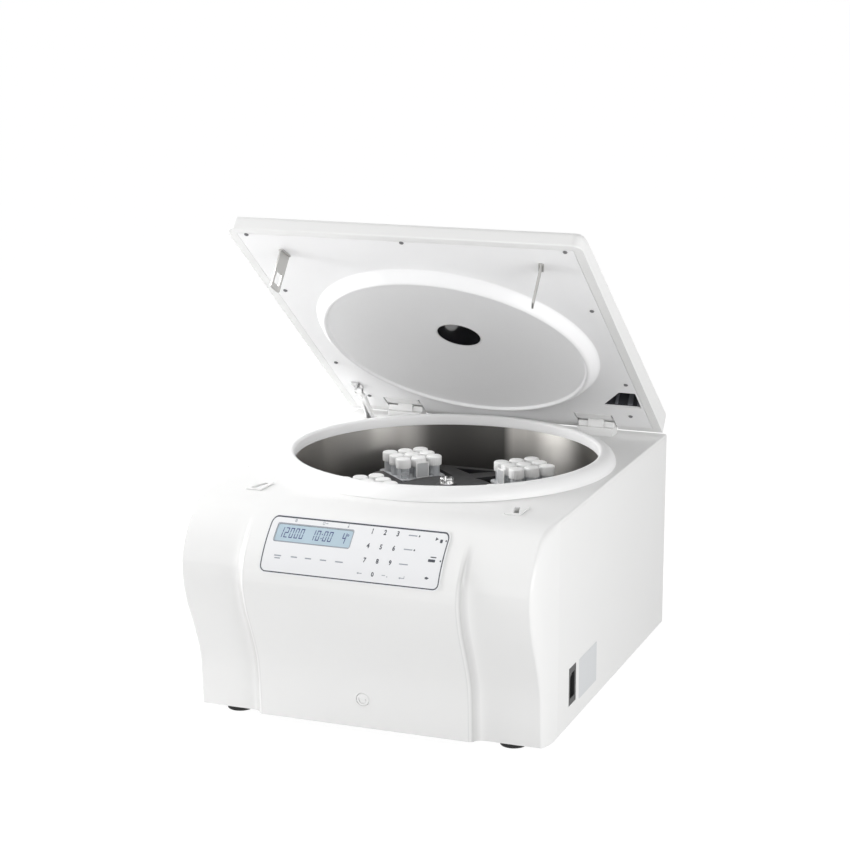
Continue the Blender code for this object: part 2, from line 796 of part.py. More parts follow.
def feet():
    places = [(x, y) for y in (FOOT_FRONT, FOOT_REAR) for x in (-FOOT_X, FOOT_X)]
    names = ("foot_front_left", "foot_front_right", "foot_rear_left", "foot_rear_right")
    top = BASE_Z - FIT_GAP
    profile = [
        (0, top), (FOOT_RADIUS - FOOT_RIM, top), (FOOT_RADIUS, top - FOOT_RIM), (FOOT_RADIUS, FOOT_RIM / 3),
        (FOOT_RADIUS - FOOT_RIM / 3, 0), (0, 0),
    ]
    for name, place in zip(names, places):
        turned(name, profile, rubber(), place, sides=SMALL_ROUND, closed=False)


# Chamber
def chamber():
    lip_outer = RIM_RADIUS + LIP_THICK
    bowl_outer = lip_outer + BOWL_WALL
    rim_top = DECK_Z + RIM_HEIGHT
    seat = DECK_Z + FIT_GAP
    crown = RIM_RADIUS + LIP_THICK * 2
    bowl_top = rim_top - LIP_THICK * 3.5
    bead = arc((crown, seat), (RIM_RADIUS + RIM_BEAD - crown, rim_top - seat), 90, 0, 7)
    nose = arc((crown, rim_top - LIP_THICK * 1.6), (crown - RIM_RADIUS, LIP_THICK * 1.6), 180, 90, 4)[:-1]
    groove = [
        (bowl_outer + FIT_GAP, seat), (bowl_outer + FIT_GAP, bowl_top + FIT_GAP),
        (lip_outer - FIT_GAP, bowl_top + FIT_GAP), (lip_outer - FIT_GAP, seat + LIP_REACH),
        (RIM_RADIUS, seat + LIP_REACH),
    ]
    turned("rim_gasket", bead + groove + nose, finish("white_seal", (0.84, 0.84, 0.83), 0.5),
           (0, BOWL_Y), sides=BIG_ROUND)

    seam = BOWL_UNDER_Z + BOWL_FILLET
    wall = [(bowl_outer, bowl_top), (bowl_outer, seam), (lip_outer, seam), (lip_outer, bowl_top)]
    turned("chamber_bowl", wall, steel(), (0, BOWL_Y), sides=BIG_ROUND)
    outer = [(bowl_outer, seam - FIT_GAP)]
    outer += arc((bowl_outer - BOWL_FILLET, seam), (BOWL_FILLET, BOWL_FILLET), -30, -90, 3)
    inner_r = BOWL_FILLET - BOWL_WALL
    inner = arc((lip_outer - inner_r, seam), (inner_r, inner_r), -90, -30, 3)
    profile = [
        *outer, (BOWL_HOLE, BOWL_UNDER_Z), (BOWL_HOLE, BOWL_FLOOR_Z), *inner, (lip_outer, seam - FIT_GAP),
    ]
    turned("bowl_floor", profile, steel(), (0, BOWL_Y), sides=BIG_ROUND)

    mid = coil_path_radius()
    low, high = seam, DECK_UNDER_Z - COIL_RADIUS * 3
    count = COIL_TURNS * COIL_POINTS
    points = []
    for k in range(count + 1):
        angle = math.tau * k / COIL_POINTS
        points.append((mid * math.cos(angle), BOWL_Y + mid * math.sin(angle), low + (high - low) * k / count))
    bent_tube("evaporator_coil", points, COIL_RADIUS, copper())

    foam_inner = foam_inner_radius()
    foam_outer = foam_inner + FOAM_THICK
    foam_floor = BOWL_UNDER_Z - FIT_GAP
    turned("bowl_insulation", [
        (foam_outer, DECK_UNDER_Z), (foam_outer, FOAM_LOW_Z), (FOAM_HOLE, FOAM_LOW_Z), (FOAM_HOLE, foam_floor),
        (foam_inner, foam_floor), (foam_inner, DECK_UNDER_Z),
    ], finish("insulation", (0.10, 0.10, 0.10), 0.9), (0, BOWL_Y), sides=BIG_ROUND)

    guard_inner = foam_outer + FIT_GAP
    guard_outer = guard_outer_radius()
    shelf_top = SHELF_Z + GUARD_WALL
    ring = turned("guard_ring", [
        (guard_outer, DECK_UNDER_Z), (guard_outer, FLOOR_Z), (guard_inner, FLOOR_Z),
        (guard_inner, SHELF_Z), (guard_inner - GUARD_SHELF, SHELF_Z),
        (guard_inner - GUARD_SHELF, shelf_top), (guard_inner, shelf_top), (guard_inner, DECK_UNDER_Z),
    ], zinc(), (0, BOWL_Y), sides=BIG_ROUND)
    for k, (x, y) in enumerate(line_crossings(guard_outer)):
        cut(ring, block(
            f"line_notch_{k}", (x - NOTCH_HALF, y - OVERRUN * 2, FLOOR_Z - OVERRUN),
            (x + NOTCH_HALF, y + OVERRUN * 2, LINE_Z + NOTCH_HALF), None,
        ))


def coil_path_radius():
    """How far out the evaporator coil runs, so that its chords clear the bowl."""
    bowl_outer = RIM_RADIUS + LIP_THICK + BOWL_WALL
    return (bowl_outer + FIT_GAP + COIL_RADIUS) / math.cos(math.pi / COIL_POINTS)


def foam_inner_radius():
    return (coil_path_radius() + COIL_RADIUS) / math.cos(math.pi / BIG_ROUND) + FIT_GAP


def guard_outer_radius():
    return foam_inner_radius() + FOAM_THICK + FIT_GAP + GUARD_WALL


def line_crossings(radius):
    """Where the refrigerant line passes the guard ring, front and rear."""
    return [
        (x, BOWL_Y + side * math.sqrt(radius**2 - x**2))
        for x, side in ((LINE_CROSS_X, -1), (line_rear_x(), 1))
    ]


def line_rear_x():
    return CONDENSER_X - CONDENSER_WIDTH / 3


def drive():
    centre = (0, BOWL_Y)
    plate_top = MOTOR_PLATE_Z + MOTOR_PLATE_THICK
    low = FLOOR_Z + MOTOR_LIFT
    bore = SHAFT_RADIUS + FIT_GAP
    boss_top = MOTOR_PLATE_Z + MOTOR_PLATE_THICK * 3
    turned("motor_housing", [
        (BEARING_BOSS, boss_top), (BEARING_BOSS, plate_top), (MOTOR_PLATE_RADIUS, plate_top),
        (MOTOR_PLATE_RADIUS, MOTOR_PLATE_Z), (MOTOR_RADIUS, MOTOR_PLATE_Z), (MOTOR_RADIUS, low + MOTOR_EDGE),
        (MOTOR_RADIUS - MOTOR_EDGE, low),
        (bore, low), (bore, boss_top),
    ], finish("motor_grey", (0.20, 0.21, 0.22), 0.5, 0.5), centre, sides=ROUND)
    top = MOTOR_PLATE_Z - FIT_GAP
    height = top - FLOOR_Z
    for k in range(3):
        angle = math.radians(90 + 120 * k)
        place = (DAMPER_CIRCLE * math.cos(angle), BOWL_Y + DAMPER_CIRCLE * math.sin(angle))
        turned(f"motor_damper_{k + 1}", [
            (0, top), (DAMPER_RADIUS, top), (DAMPER_RADIUS, top - height / 5), (DAMPER_WAIST, top - height / 2),
            (DAMPER_RADIUS, FLOOR_Z + height / 5), (DAMPER_RADIUS, FLOOR_Z), (0, FLOOR_Z),
        ], rubber(), place, sides=SMALL_ROUND, closed=False)


# Rotor
def pivot_z():
    return DECK_Z - PIVOT_DROP


def hub_top():
    return pivot_z() + ARM_THICK / 2 + HUB_RISE


def arm_offset():
    """How far an arm's side face lies from its neighbours' bucket lines, measured along the arm."""
    return math.sqrt(2) * (BUCKET_HALF + BUCKET_CLEAR)


def arm_outline(turn):
    """One arm of the cross in plan: a wedge whose sides run along its two buckets."""
    offset = arm_offset()
    reach = math.sqrt(2) * (PIVOT_RADIUS + PIN_RADIUS * 2.6)
    shoulder = (reach + offset) / 2
    root = HUB_RADIUS - PIN_RADIUS
    tip_half = shoulder - offset - (ARM_TIP - shoulder)
    side = [(root, NUT_RADIUS / 2), (shoulder, shoulder - offset), (ARM_TIP, tip_half)]
    points = side + [(x, -y) for x, y in reversed(side)]
    c, s = math.cos(turn), math.sin(turn)
    return [(x * c - y * s, x * s + y * c) for x, y in points]


def rotor():
    axis = bpy.data.objects.new("rotor_axis", None)
    PARTS.objects.link(axis)
    axis.location = (0, BOWL_Y, 0)
    low, high = pivot_z() - ARM_THICK / 2, pivot_z() + ARM_THICK / 2
    bore = SHAFT_RADIUS + FIT_GAP
    cross = turned("rotor_cross", [
        (HUB_RADIUS - HUB_RISE, hub_top()), (HUB_RADIUS, hub_top() - HUB_RISE / 2), (HUB_RADIUS, low - HUB_RISE),
        (bore, low - HUB_RISE), (bore, hub_top()),
    ], black_metal(), parent=axis, sides=ROUND)
    for k in range(4):
        turn = k * math.pi / 2
        join(cross, outline_plate(f"arm_{k}", arm_outline(turn), low, high, None, axis))
        hole = [
            (PIVOT_RADIUS * 0.78, 0), (PIVOT_RADIUS, PIVOT_RADIUS * 0.27), (PIVOT_RADIUS, -PIVOT_RADIUS * 0.27),
        ]
        c, s = math.cos(turn), math.sin(turn)
        hole = [(x * c - y * s, x * s + y * c) for x, y in hole]
        cut(cross, outline_plate(f"arm_hole_{k}", hole, low - OVERRUN, high + OVERRUN, None, axis))
    face = BUCKET_HALF + BUCKET_CLEAR
    pin_end = BUCKET_HALF - COLLAR_WALL * 0.85
    for k in range(4):
        angle = math.pi / 4 + k * math.pi / 2
        for side in (-1, 1):
            pin = rod(f"pin_{k}_{side}", PIN_RADIUS, (pin_end * side, PIVOT_RADIUS, pivot_z()),
                      (face - pin_end + PIN_RADIUS) * side, None, axis="X", parent=axis, sides=TUBE_ROUND + 2)
            pin.rotation_euler = (0, 0, angle - math.pi / 2)
            join(cross, pin)
    smooth(cross)
    thread = SHAFT_THREAD
    shaft_top = hub_top() + NUT_HEIGHT * 0.75
    turned("drive_shaft", [
        (0, shaft_top), (thread, shaft_top), (thread, hub_top() - FIT_GAP), (SHAFT_RADIUS, hub_top() - FIT_GAP),
        (SHAFT_RADIUS, FLOOR_Z + MOTOR_LIFT / 2), (0, FLOOR_Z + MOTOR_LIFT / 2),
    ], chrome(), parent=axis, sides=SMALL_ROUND, closed=False)
    seat = hub_top() + FIT_GAP
    nut_top = seat + NUT_HEIGHT
    nut = turned("rotor_nut", [
        (NUT_RADIUS - NUT_SLOT / 8, nut_top), (NUT_RADIUS, nut_top - NUT_SLOT / 4), (NUT_RADIUS, seat + NUT_SLOT),
        (NUT_FLANGE, seat + NUT_SLOT * 0.6), (NUT_FLANGE, seat), (thread + FIT_GAP, seat),
        (thread + FIT_GAP, nut_top),
    ], chrome(), parent=axis, sides=24)
    for k in range(2):
        size = (NUT_SLOT / 2, NUT_FLANGE) if k else (NUT_FLANGE, NUT_SLOT / 2)
        cut(nut, block(f"nut_slot_{k}", (-size[0], -size[1], nut_top - NUT_HEIGHT * 0.45),
                       (size[0], size[1], nut_top + OVERRUN), None, axis))
    bucket = bucket_mesh()
    rack = rack_mesh()
    for k in range(4):
        angle = math.pi / 4 + k * math.pi / 2
        pivot = bpy.data.objects.new(f"bucket_pivot_{k + 1}", None)
        PARTS.objects.link(pivot)
        pivot.parent = axis
        pivot.location = (PIVOT_RADIUS * math.cos(angle), PIVOT_RADIUS * math.sin(angle), pivot_z())
        pivot.rotation_euler = (0, 0, angle - math.pi / 2)
        add_object(f"bucket_{k + 1}", bucket, black_metal(), pivot)
        add_object(f"tube_rack_{k + 1}", rack, finish("tube_rack", (0.85, 0.86, 0.87), 0.45), pivot)


def square_loop(half, z, corner):
    return [(x, y, z) for x, y in rounded_rectangle((-half, -half), (half, half), corner, 3)]


def bucket_mesh():
    """A square bucket about its trunnion axis, which runs along X; it hangs down and opens upwards."""
    collar_low = BUCKET_RIM - BUCKET_COLLAR
    taper_top = BUCKET_TAPER - BUCKET_DEPTH
    outer = [
        (BUCKET_HALF, BUCKET_RIM), (BUCKET_HALF, collar_low), (BUCKET_WAIST, collar_low - COLLAR_WALL),
        (BUCKET_WAIST, taper_top), (BUCKET_BOTTOM, -BUCKET_DEPTH),
    ]
    inner = [
        (BUCKET_HALF - COLLAR_WALL, BUCKET_RIM + OVERRUN), (BUCKET_HALF - COLLAR_WALL, collar_low),
        (BUCKET_WAIST - BUCKET_WALL, collar_low - COLLAR_WALL), (BUCKET_WAIST - BUCKET_WALL, taper_top),
        (BUCKET_BOTTOM - BUCKET_WALL, BUCKET_WALL - BUCKET_DEPTH),
    ]
    item = lofted("bucket", [square_loop(h, z, BUCKET_CORNER) for h, z in reversed(outer)], black_metal())
    core = lofted("bucket_core", [square_loop(h, z, BUCKET_CORNER - BUCKET_WALL) for h, z in reversed(inner)], None)
    cut(item, core)
    cut(item, rod("trunnion_bore", PIN_RADIUS + PIN_CLEAR, (-BUCKET_HALF - OVERRUN, 0, 0),
                  (BUCKET_HALF + OVERRUN) * 2, None, axis="X", sides=TUBE_ROUND + 2))
    return baked_mesh(item)


def rack_mesh():
    """A rack plate on the bucket's rim with nine capped tubes and a standing tab, all one body."""
    low = BUCKET_RIM + FIT_GAP
    high = low + RACK_PLATE
    item = lofted("rack", [square_loop(RACK_HALF, z, BUCKET_CORNER) for z in (low, high)], None)
    join(item, block("tab", (-TAB_WIDTH / 2, -RACK_HALF + FIT_GAP, high - RACK_PLATE / 2),
                     (TAB_WIDTH / 2, -RACK_HALF + FIT_GAP + TAB_THICK, high + TAB_HEIGHT), None))
    for i in (-1, 0, 1):
        for j in (-1, 0, 1):
            tube = turned(f"tube_{i}_{j}", [
                (0, CAP_TOP), (CAP_RADIUS, CAP_TOP), (CAP_RADIUS, CAP_TOP - CAP_HEIGHT),
                (TUBE_RADIUS, CAP_TOP - CAP_HEIGHT), (TUBE_RADIUS, TUBE_CONE - TUBE_BOTTOM),
                (TUBE_TIP, -TUBE_BOTTOM), (0, -TUBE_BOTTOM),
            ], None, (i * TUBE_PITCH, j * TUBE_PITCH), sides=TUBE_ROUND, closed=False)
            join(item, tube)
    return baked_mesh(item)


# Lid
def lid_hinge():
    """The hinge line in y and z: closed, the liner clears the rim and its ring is centred on the bowl."""
    z = DECK_Z + RIM_HEIGHT + LID_CLOSED_GAP + HINGE_N
    y = BOWL_Y + ring_s() - HINGE_S
    return y, z


def ring_s():
    return LID_LENGTH * 0.469


def hook_y():
    """Where the closed lid brings its striker hooks."""
    return lid_hinge()[0] + HINGE_S - HOOK_S


def lid_y(s):
    return HINGE_S - s


def lid_z(n):
    return n - HINGE_N


def lid_world(s, n, angle=LID_ANGLE):
    """A point of the lid in y and z with the lid open by an angle."""
    y, z = lid_hinge()
    forward, up = s - HINGE_S, n - HINGE_N
    return (
        y - forward * math.cos(angle) + up * math.sin(angle),
        z + forward * math.sin(angle) + up * math.cos(angle),
    )


def lid_profile(inset, shrink):
    """Side view of the lid: a wedge with a round nose; the inset moves its ends in and its top down."""
    rear, nose = LID_REAR_THICK - shrink, LID_NOSE_THICK - shrink
    front = LID_FRONT_THICK - shrink / 2
    start = LID_LENGTH - LID_NOSE_RUN
    points = [(inset, 0), (inset, rear - LID_EDGE_RADIUS / 2), (inset + LID_EDGE_RADIUS / 2, rear)]
    points += arc((start - inset, front), (LID_NOSE_RUN, nose - front), 90, 0, 7)
    points += [(LID_LENGTH - inset, LID_EDGE_RADIUS / 4), (LID_LENGTH - inset - LID_EDGE_RADIUS / 4, 0)]
    return points


def lid_body(name, skin, axis):
    """The lid's outline, with its side edges rounded over."""
    loops = []
    steps = 5
    rounding = []
    for k in range(steps):
        angle = math.pi / 2 * k / (steps - 1)
        rounding.append((LID_EDGE_RADIUS * (1 - math.sin(angle)), LID_EDGE_RADIUS * (1 - math.cos(angle))))
    ordered = [(-HALF + drop, fall) for fall, drop in rounding]
    for x, fall in ordered:
        loops.append([(x, lid_y(s), lid_z(n)) for s, n in lid_profile(0.0, fall)])
    for x, fall in reversed(ordered):
        loops.append([(-x, lid_y(s), lid_z(n)) for s, n in lid_profile(0.0, fall)])
    return lofted(name, loops, skin, axis)


def lid_prism(name, side, profile, axis):
    """A body of the lid's side view, as wide as the lid less a side margin."""
    loops = [[(x, lid_y(s), lid_z(n)) for s, n in profile] for x in (-HALF + side, HALF - side)]
    return lofted(name, loops, None, axis)


def slab(name, x, s, n, axis, skin=None, bevel=0.0):
    """A box in the lid's frame, from ranges of x, s and n."""
    return block(name, (x[0], lid_y(s[1]), lid_z(n[0])), (x[1], lid_y(s[0]), lid_z(n[1])), skin, axis, bevel)


def top_thickness(s):
    share = s / (LID_LENGTH - LID_NOSE_RUN)
    return LID_REAR_THICK + (LID_NOSE_THICK - LID_REAR_THICK) * share


def lid():
    y, z = lid_hinge()
    axis = bpy.data.objects.new("lid_axis", None)
    PARTS.objects.link(axis)
    axis.location = (0, y, z)
    axis.rotation_euler = (-LID_ANGLE, 0, 0)

    shell = lid_body("lid_shell", white_plastic(), axis)
    hollow = [(s, max(n, LINER_THICK * 2)) for s, n in lid_profile(LID_SKIN, LID_SKIN)]
    del hollow[-1]
    cut(shell, lid_prism("lid_hollow", LID_EDGE_RADIUS, hollow, axis))
    mouth = (LID_RIM, LID_LENGTH - LID_RIM)
    cut(shell, slab("lid_mouth", (-HALF + LID_RIM, HALF - LID_RIM), mouth, (-OVERRUN, LINER_THICK * 3), axis))
    window_s = ring_s()
    cut(shell, rod("lid_window_hole", WINDOW_RADIUS + FIT_GAP, (0, lid_y(window_s), 0), LID_REAR_THICK * 2,
                   None, parent=axis, sides=32))
    for side in (-1, 1):
        x = side * HINGE_X
        room = HINGE_WIDTH / 2 + POCKET_SIDE
        cut(shell, slab(f"hinge_notch_{side}", (x - room, x + room), (-OVERRUN, POCKET_RUN),
                        (-OVERRUN, POCKET_DEPTH), axis))
    smooth(shell, 30)

    edge = LID_RIM + SEAM_GAP
    liner = slab("lid_liner", (-HALF + edge, HALF - edge), (edge, LID_LENGTH - edge), (0.0, LINER_THICK), axis,
                 finish("lid_liner", (0.83, 0.83, 0.83), 0.45))
    centre = (0, lid_y(ring_s()))
    cut(liner, rod("ring_hole", RING_RADIUS - FIT_GAP, (*centre, -LID_REAR_THICK), LID_REAR_THICK * 2, None,
                   parent=axis, sides=BIG_ROUND))
    join(liner, dish(axis, centre))
    for side in (-1, 1):
        x = side * HINGE_X
        room = HINGE_WIDTH / 2 + POCKET_SIDE
        cut(liner, slab(f"liner_notch_{side}", (x - room, x + room), (-OVERRUN, POCKET_RUN),
                        (-OVERRUN, POCKET_DEPTH), axis))
    hatch = [
        (HATCH_LOW, lid_y(HATCH_S)), (HATCH_OUTER - FIT_GAP, lid_y(HATCH_S)),
        (HATCH_OUTER, lid_y(HATCH_S + HATCH_RISE)), (HATCH_HIGH, lid_y(HATCH_S + HATCH_RISE)),
    ]
    cut(liner, outline_plate("hatch", hatch, -LID_REAR_THICK, LID_REAR_THICK, None, axis))
    smooth(liner, 30)

    window_low = DISH_RISE + FIT_GAP
    window_top = top_thickness(window_s) - LID_SKIN / 3 - HINGE_N
    turned("sight_window", [
        (0, window_top), (WINDOW_RADIUS, window_top), (WINDOW_RADIUS, lid_z(window_low)), (0, lid_z(window_low)),
    ], finish("sight_glass", (0.03, 0.03, 0.035), 0.08, 0.0, 0.75), centre, axis, sides=32, closed=False)

    for side, word in ((-1, "left"), (1, "right")):
        striker_hook(f"striker_hook_{word}", side, axis)
        hinge_leaf(f"hinge_leaf_{word}", side, axis)
        hinge_bracket(f"hinge_bracket_{word}", side)
        latch(word, side)
    strut(axis)


def dish(axis, centre):
    """The turned middle of the liner: an outer ring that stands proud and a shallow dish up to the window."""
    lap = DISH_THICK
    low = lid_z(LINER_THICK * 0.08)
    high = lid_z(LINER_THICK * 0.9)
    hole = WINDOW_RADIUS + FIT_GAP
    crest = lid_z(-RING_HEIGHT)
    below = [(RING_RADIUS + lap, low), (RING_RADIUS, low)]
    below += [(RING_CREST + DISH_THICK, crest + RING_HEIGHT / 6), (RING_CREST, crest)]
    below += [(RING_CREST - DISH_THICK, crest + RING_HEIGHT / 8), (RING_INNER, crest + RING_HEIGHT / 2)]
    inner_z = crest + RING_HEIGHT / 2
    rise = lid_z(DISH_RISE) - inner_z
    for k in range(1, 6):
        share = k / 5
        radius = RING_INNER + (hole - RING_INNER) * share
        below.append((radius, inner_z + rise * (1 - (1 - share) ** 2)))
    above = [(r, z + DISH_THICK) for r, z in below[2:]]
    above[-1] = (hole + DISH_THICK, lid_z(DISH_RISE) + DISH_THICK)
    collar_top = lid_z(DISH_RISE + WINDOW_COLLAR)
    collar = [(hole, collar_top), (hole + DISH_THICK, collar_top)]
    profile = [(RING_RADIUS + lap, high), *below, *collar, *reversed(above), (RING_RADIUS - lap / 2, high)]
    return turned("dish", profile, None, centre, axis, sides=BIG_ROUND)


def striker_hook(name, side, axis):
    """A flat plate that hangs from the lid with a window for the latch bolt, and a small foot."""
    top = lid_z(-FIT_GAP)
    low = top - HOOK_LENGTH
    frame = bpy.data.objects.new(name + "_seat", None)
    PARTS.objects.link(frame)
    frame.parent = axis
    frame.location = (side * HOOK_X, lid_y(HOOK_S), 0)
    frame.rotation_euler = (0, 0, side * HOOK_TURN)
    half = HOOK_WIDTH / 2
    plate = block(name, (-HOOK_THICK / 2, -half, low), (HOOK_THICK / 2, half, top), chrome(), frame)
    join(plate, block(name + "_foot", (-HOOK_FOOT / 2, -half + SEAM_GAP, top - HOOK_THICK),
                      (HOOK_FOOT / 2, half - SEAM_GAP, top - FIT_GAP), None, frame))
    middle = top - HOOK_WINDOW_DROP
    cut(plate, block(name + "_window", (-OVERRUN, -HOOK_WINDOW_WIDTH / 2, middle - HOOK_WINDOW_HEIGHT / 2),
                     (OVERRUN, HOOK_WINDOW_WIDTH / 2, middle + HOOK_WINDOW_HEIGHT / 2), None, frame))
    edge = plate.modifiers.new("edges", "BEVEL")
    edge.width = HOOK_THICK / 8
    edge.segments = 1
    return plate


def latch(word, side):
    """The housing that hangs in the deck under a hook, with its escutcheon, and the bolt that locks the hook."""
    x, y = side * HOOK_X, hook_y()
    seat = DECK_Z + FIT_GAP
    face = block(
        f"latch_housing_{word}", (x - LATCH_FACE_X, y - LATCH_FACE_Y, seat),
        (x + LATCH_FACE_X, y + LATCH_FACE_Y, seat + LATCH_FACE_THICK),
        finish("latch_plastic", (0.82, 0.82, 0.81), 0.45),
    )
    low = DECK_Z - LATCH_DEPTH
    join(face, block(f"latch_body_{word}", (x - LATCH_BODY_X, y - LATCH_BODY_Y, low),
                     (x + LATCH_BODY_X, y + LATCH_BODY_Y, seat + LATCH_FACE_THICK / 2), None))
    bolt_z = lid_hinge()[1] - HINGE_N - HOOK_WINDOW_DROP
    inner = x - side * (LATCH_BODY_X + BOLT_BOSS_RUN)
    start = min(inner, x - side * LATCH_BODY_X / 2)
    length = abs(inner - (x - side * LATCH_BODY_X / 2))
    join(face, rod(f"latch_boss_{word}", BOLT_BOSS, (start, y, bolt_z), length, None, axis="X",
                   sides=SMALL_ROUND))
    throat = block(f"latch_throat_{word}", (-THROAT_X, -THROAT_Y, low - OVERRUN),
                   (THROAT_X, THROAT_Y, DECK_Z + OVERRUN), None)
    throat.location = (x, y, 0)
    throat.rotation_euler = (0, 0, side * HOOK_TURN)
    cut(face, throat)
    bore_start = min(inner - side * OVERRUN, x)
    cut(face, rod(f"bolt_bore_{word}", BOLT_RADIUS + FIT_GAP, (bore_start, y, bolt_z),
                  abs(inner - side * OVERRUN - x), None, axis="X", sides=SMALL_ROUND))
    tip = x - side * (THROAT_X + BOLT_RADIUS)
    start = min(tip, tip - side * BOLT_LENGTH)
    rod(f"latch_bolt_{word}", BOLT_RADIUS, (start, y, bolt_z), BOLT_LENGTH, chrome(), axis="X",
        sides=SMALL_ROUND)


def hinge_bracket(name, side):
    """The deck's half of a hinge: a low block, a web up to the middle knuckle and the pin."""
    y, z = lid_hinge()
    x = side * HINGE_X
    half = HINGE_WIDTH / 2
    low = DECK_Z + FIT_GAP
    item = block(name, (x - half, y - HINGE_SPAN / 2, low), (x + half, y + HINGE_SPAN / 2, low + HINGE_BLOCK),
                 white_paint(), bevel=0.0)
    web = [
        (y - KNUCKLE_RADIUS, low + HINGE_BLOCK / 2), (y + KNUCKLE_RADIUS, low + HINGE_BLOCK / 2),
        *arc((y, z), (KNUCKLE_RADIUS, KNUCKLE_RADIUS), 0, 180, 9),
    ]
    join(item, outline_plate(name + "_web", web, x - KNUCKLE_HALF, x + KNUCKLE_HALF, None, axis="X"))
    reach = KNUCKLE_HALF + SEAM_GAP + CHEEK_THICK
    join(item, rod(name + "_pin", HINGE_PIN, (x - reach, y, z), reach * 2, None, axis="X", sides=SMALL_ROUND))
    return item


def hinge_leaf(name, side, axis):
    """The lid's half of a hinge: a plate against the pocket's ceiling, two cheeks round the pin and a cover."""
    x = side * HINGE_X
    half = HINGE_WIDTH / 2
    ceiling = POCKET_DEPTH - FIT_GAP
    item = slab(name, (x - half, x + half), (HINGE_S - KNUCKLE_RADIUS, POCKET_RUN - FIT_GAP),
                (ceiling - LEAF_PLATE, ceiling), axis, white_paint())
    for end in (-1, 1):
        inner = x + end * (KNUCKLE_HALF + SEAM_GAP)
        outer = inner + end * CHEEK_THICK
        r = KNUCKLE_RADIUS
        cheek = [
            (lid_y(HINGE_S) - r, lid_z(ceiling - LEAF_PLATE / 2)), *arc((0, 0), (r, r), 180, 360, 9),
            (lid_y(HINGE_S) + r, lid_z(ceiling - LEAF_PLATE / 2)),
        ]
        join(item, outline_plate(f"{name}_cheek_{end}", cheek, min(inner, outer), max(inner, outer), None,
                                 axis, axis="X"))
    join(item, slab(name + "_wall", (x - half + SEAM_GAP, x + half - SEAM_GAP),
                    (POCKET_RUN - FIT_GAP - LEAF_PLATE, POCKET_RUN - FIT_GAP * 2), (0.0, ceiling - LEAF_PLATE / 2), axis))
    join(item, slab(name + "_cover", (x - half + FIT_GAP, x + half - FIT_GAP),
                    (POCKET_RUN - LEAF_RUN, POCKET_RUN - FIT_GAP * 3), (-FIT_GAP, LEAF_PLATE), axis))
    cut(item, rod(name + "_bore", HINGE_PIN + FIT_GAP, (x - half, 0, 0), HINGE_WIDTH, None, axis="X",
                  parent=axis, sides=SMALL_ROUND))
    return item


# Gas strut
def strut_foot():
    """The strut's lower pivot in y and z."""
    return REAR_Y - STRUT_FOOT_BACK, DECK_Z - STRUT_FOOT_DROP


def strut(axis):
    foot = Vector((STRUT_X, *strut_foot()))
    head = Vector((STRUT_X, *lid_world(STRUT_S, STRUT_N)))
    length = (head - foot).length
    pivot = bpy.data.objects.new("strut_axis", None)
    PARTS.objects.link(pivot)
    pivot.location = foot
    aim = math.atan2(head.z - foot.z, head.y - foot.y)
    pivot.rotation_euler = (aim - math.pi / 2, 0, 0)

    def eye(name, z, skin):
        """A flat eye about the strut's pivot at a height along it."""
        loop = [
            (STRUT_EYE, z), *arc((0, z), (STRUT_EYE, STRUT_EYE), 0, 360, 17)[1:-1],
        ]
        return outline_plate(name, loop, -STRUT_EAR, STRUT_EAR, skin, pivot, axis="X")

    lower = eye("strut_rod", 0.0, chrome())
    join(lower, rod("rod_stem", STRUT_ROD, (0, 0, STRUT_EYE * 0.8), STRUT_ROD_REACH - STRUT_EYE, None,
                    parent=pivot, sides=16))
    cut(lower, rod("rod_eye_hole", STRUT_PIN + FIT_GAP, (-OVERRUN, 0, 0), OVERRUN * 2, None, axis="X",
                   parent=pivot, sides=SMALL_ROUND))
    upper = rod("strut_barrel", STRUT_BARREL, (0, 0, length - STRUT_FIT - STRUT_BARREL_RUN), STRUT_BARREL_RUN,
                chrome(), parent=pivot, sides=20)
    cut(upper, rod("barrel_bore", STRUT_BORE, (0, 0, length - STRUT_FIT - STRUT_BARREL_RUN - OVERRUN),
                   STRUT_BARREL_RUN + OVERRUN - STRUT_EYE, None, parent=pivot, sides=16))
    join(upper, eye("head_eye", length, None))
    join(upper, rod("head_neck", STRUT_ROD, (0, 0, length - STRUT_FIT - STRUT_ROD / 2),
                    STRUT_FIT + STRUT_ROD / 2 - STRUT_EYE * 0.8, None, parent=pivot, sides=16))
    cut(upper, rod("head_eye_hole", STRUT_EYE_HOLE, (-OVERRUN, 0, length), OVERRUN * 2, None, axis="X",
                   parent=pivot, sides=SMALL_ROUND))

    ear = STRUT_X - STRUT_EAR_GAP - STRUT_EAR
    top = -FIT_GAP
    outline = [
        (lid_y(STRUT_S) - STRUT_LUG_SIDE, lid_z(top)), (lid_y(STRUT_S) - STRUT_LUG_SIDE, lid_z(STRUT_N)),
        *arc((lid_y(STRUT_S), lid_z(STRUT_N)), (STRUT_LUG_SIDE, STRUT_LUG_SIDE), 180, 360, 7)[1:-1],
        (lid_y(STRUT_S) + STRUT_LUG_SIDE, lid_z(STRUT_N)), (lid_y(STRUT_S) + STRUT_LUG_SIDE, lid_z(top)),
    ]
    lug = outline_plate("strut_lug", outline, ear - STRUT_LUG_THICK, ear, chrome(), axis, axis="X")
    join(lug, slab("lug_foot", (ear - STRUT_EYE * 2, ear + STRUT_EYE), (STRUT_S - STRUT_EYE * 2, STRUT_S + STRUT_EYE * 2),
                   (top - LEAF_PLATE / 2, top - FIT_GAP), axis))
    join(lug, rod("lug_pin", STRUT_PIN, (ear - STRUT_LUG_THICK / 2, lid_y(STRUT_S), lid_z(STRUT_N)),
                  STRUT_EAR * 3, None, axis="X", parent=axis, sides=SMALL_ROUND))


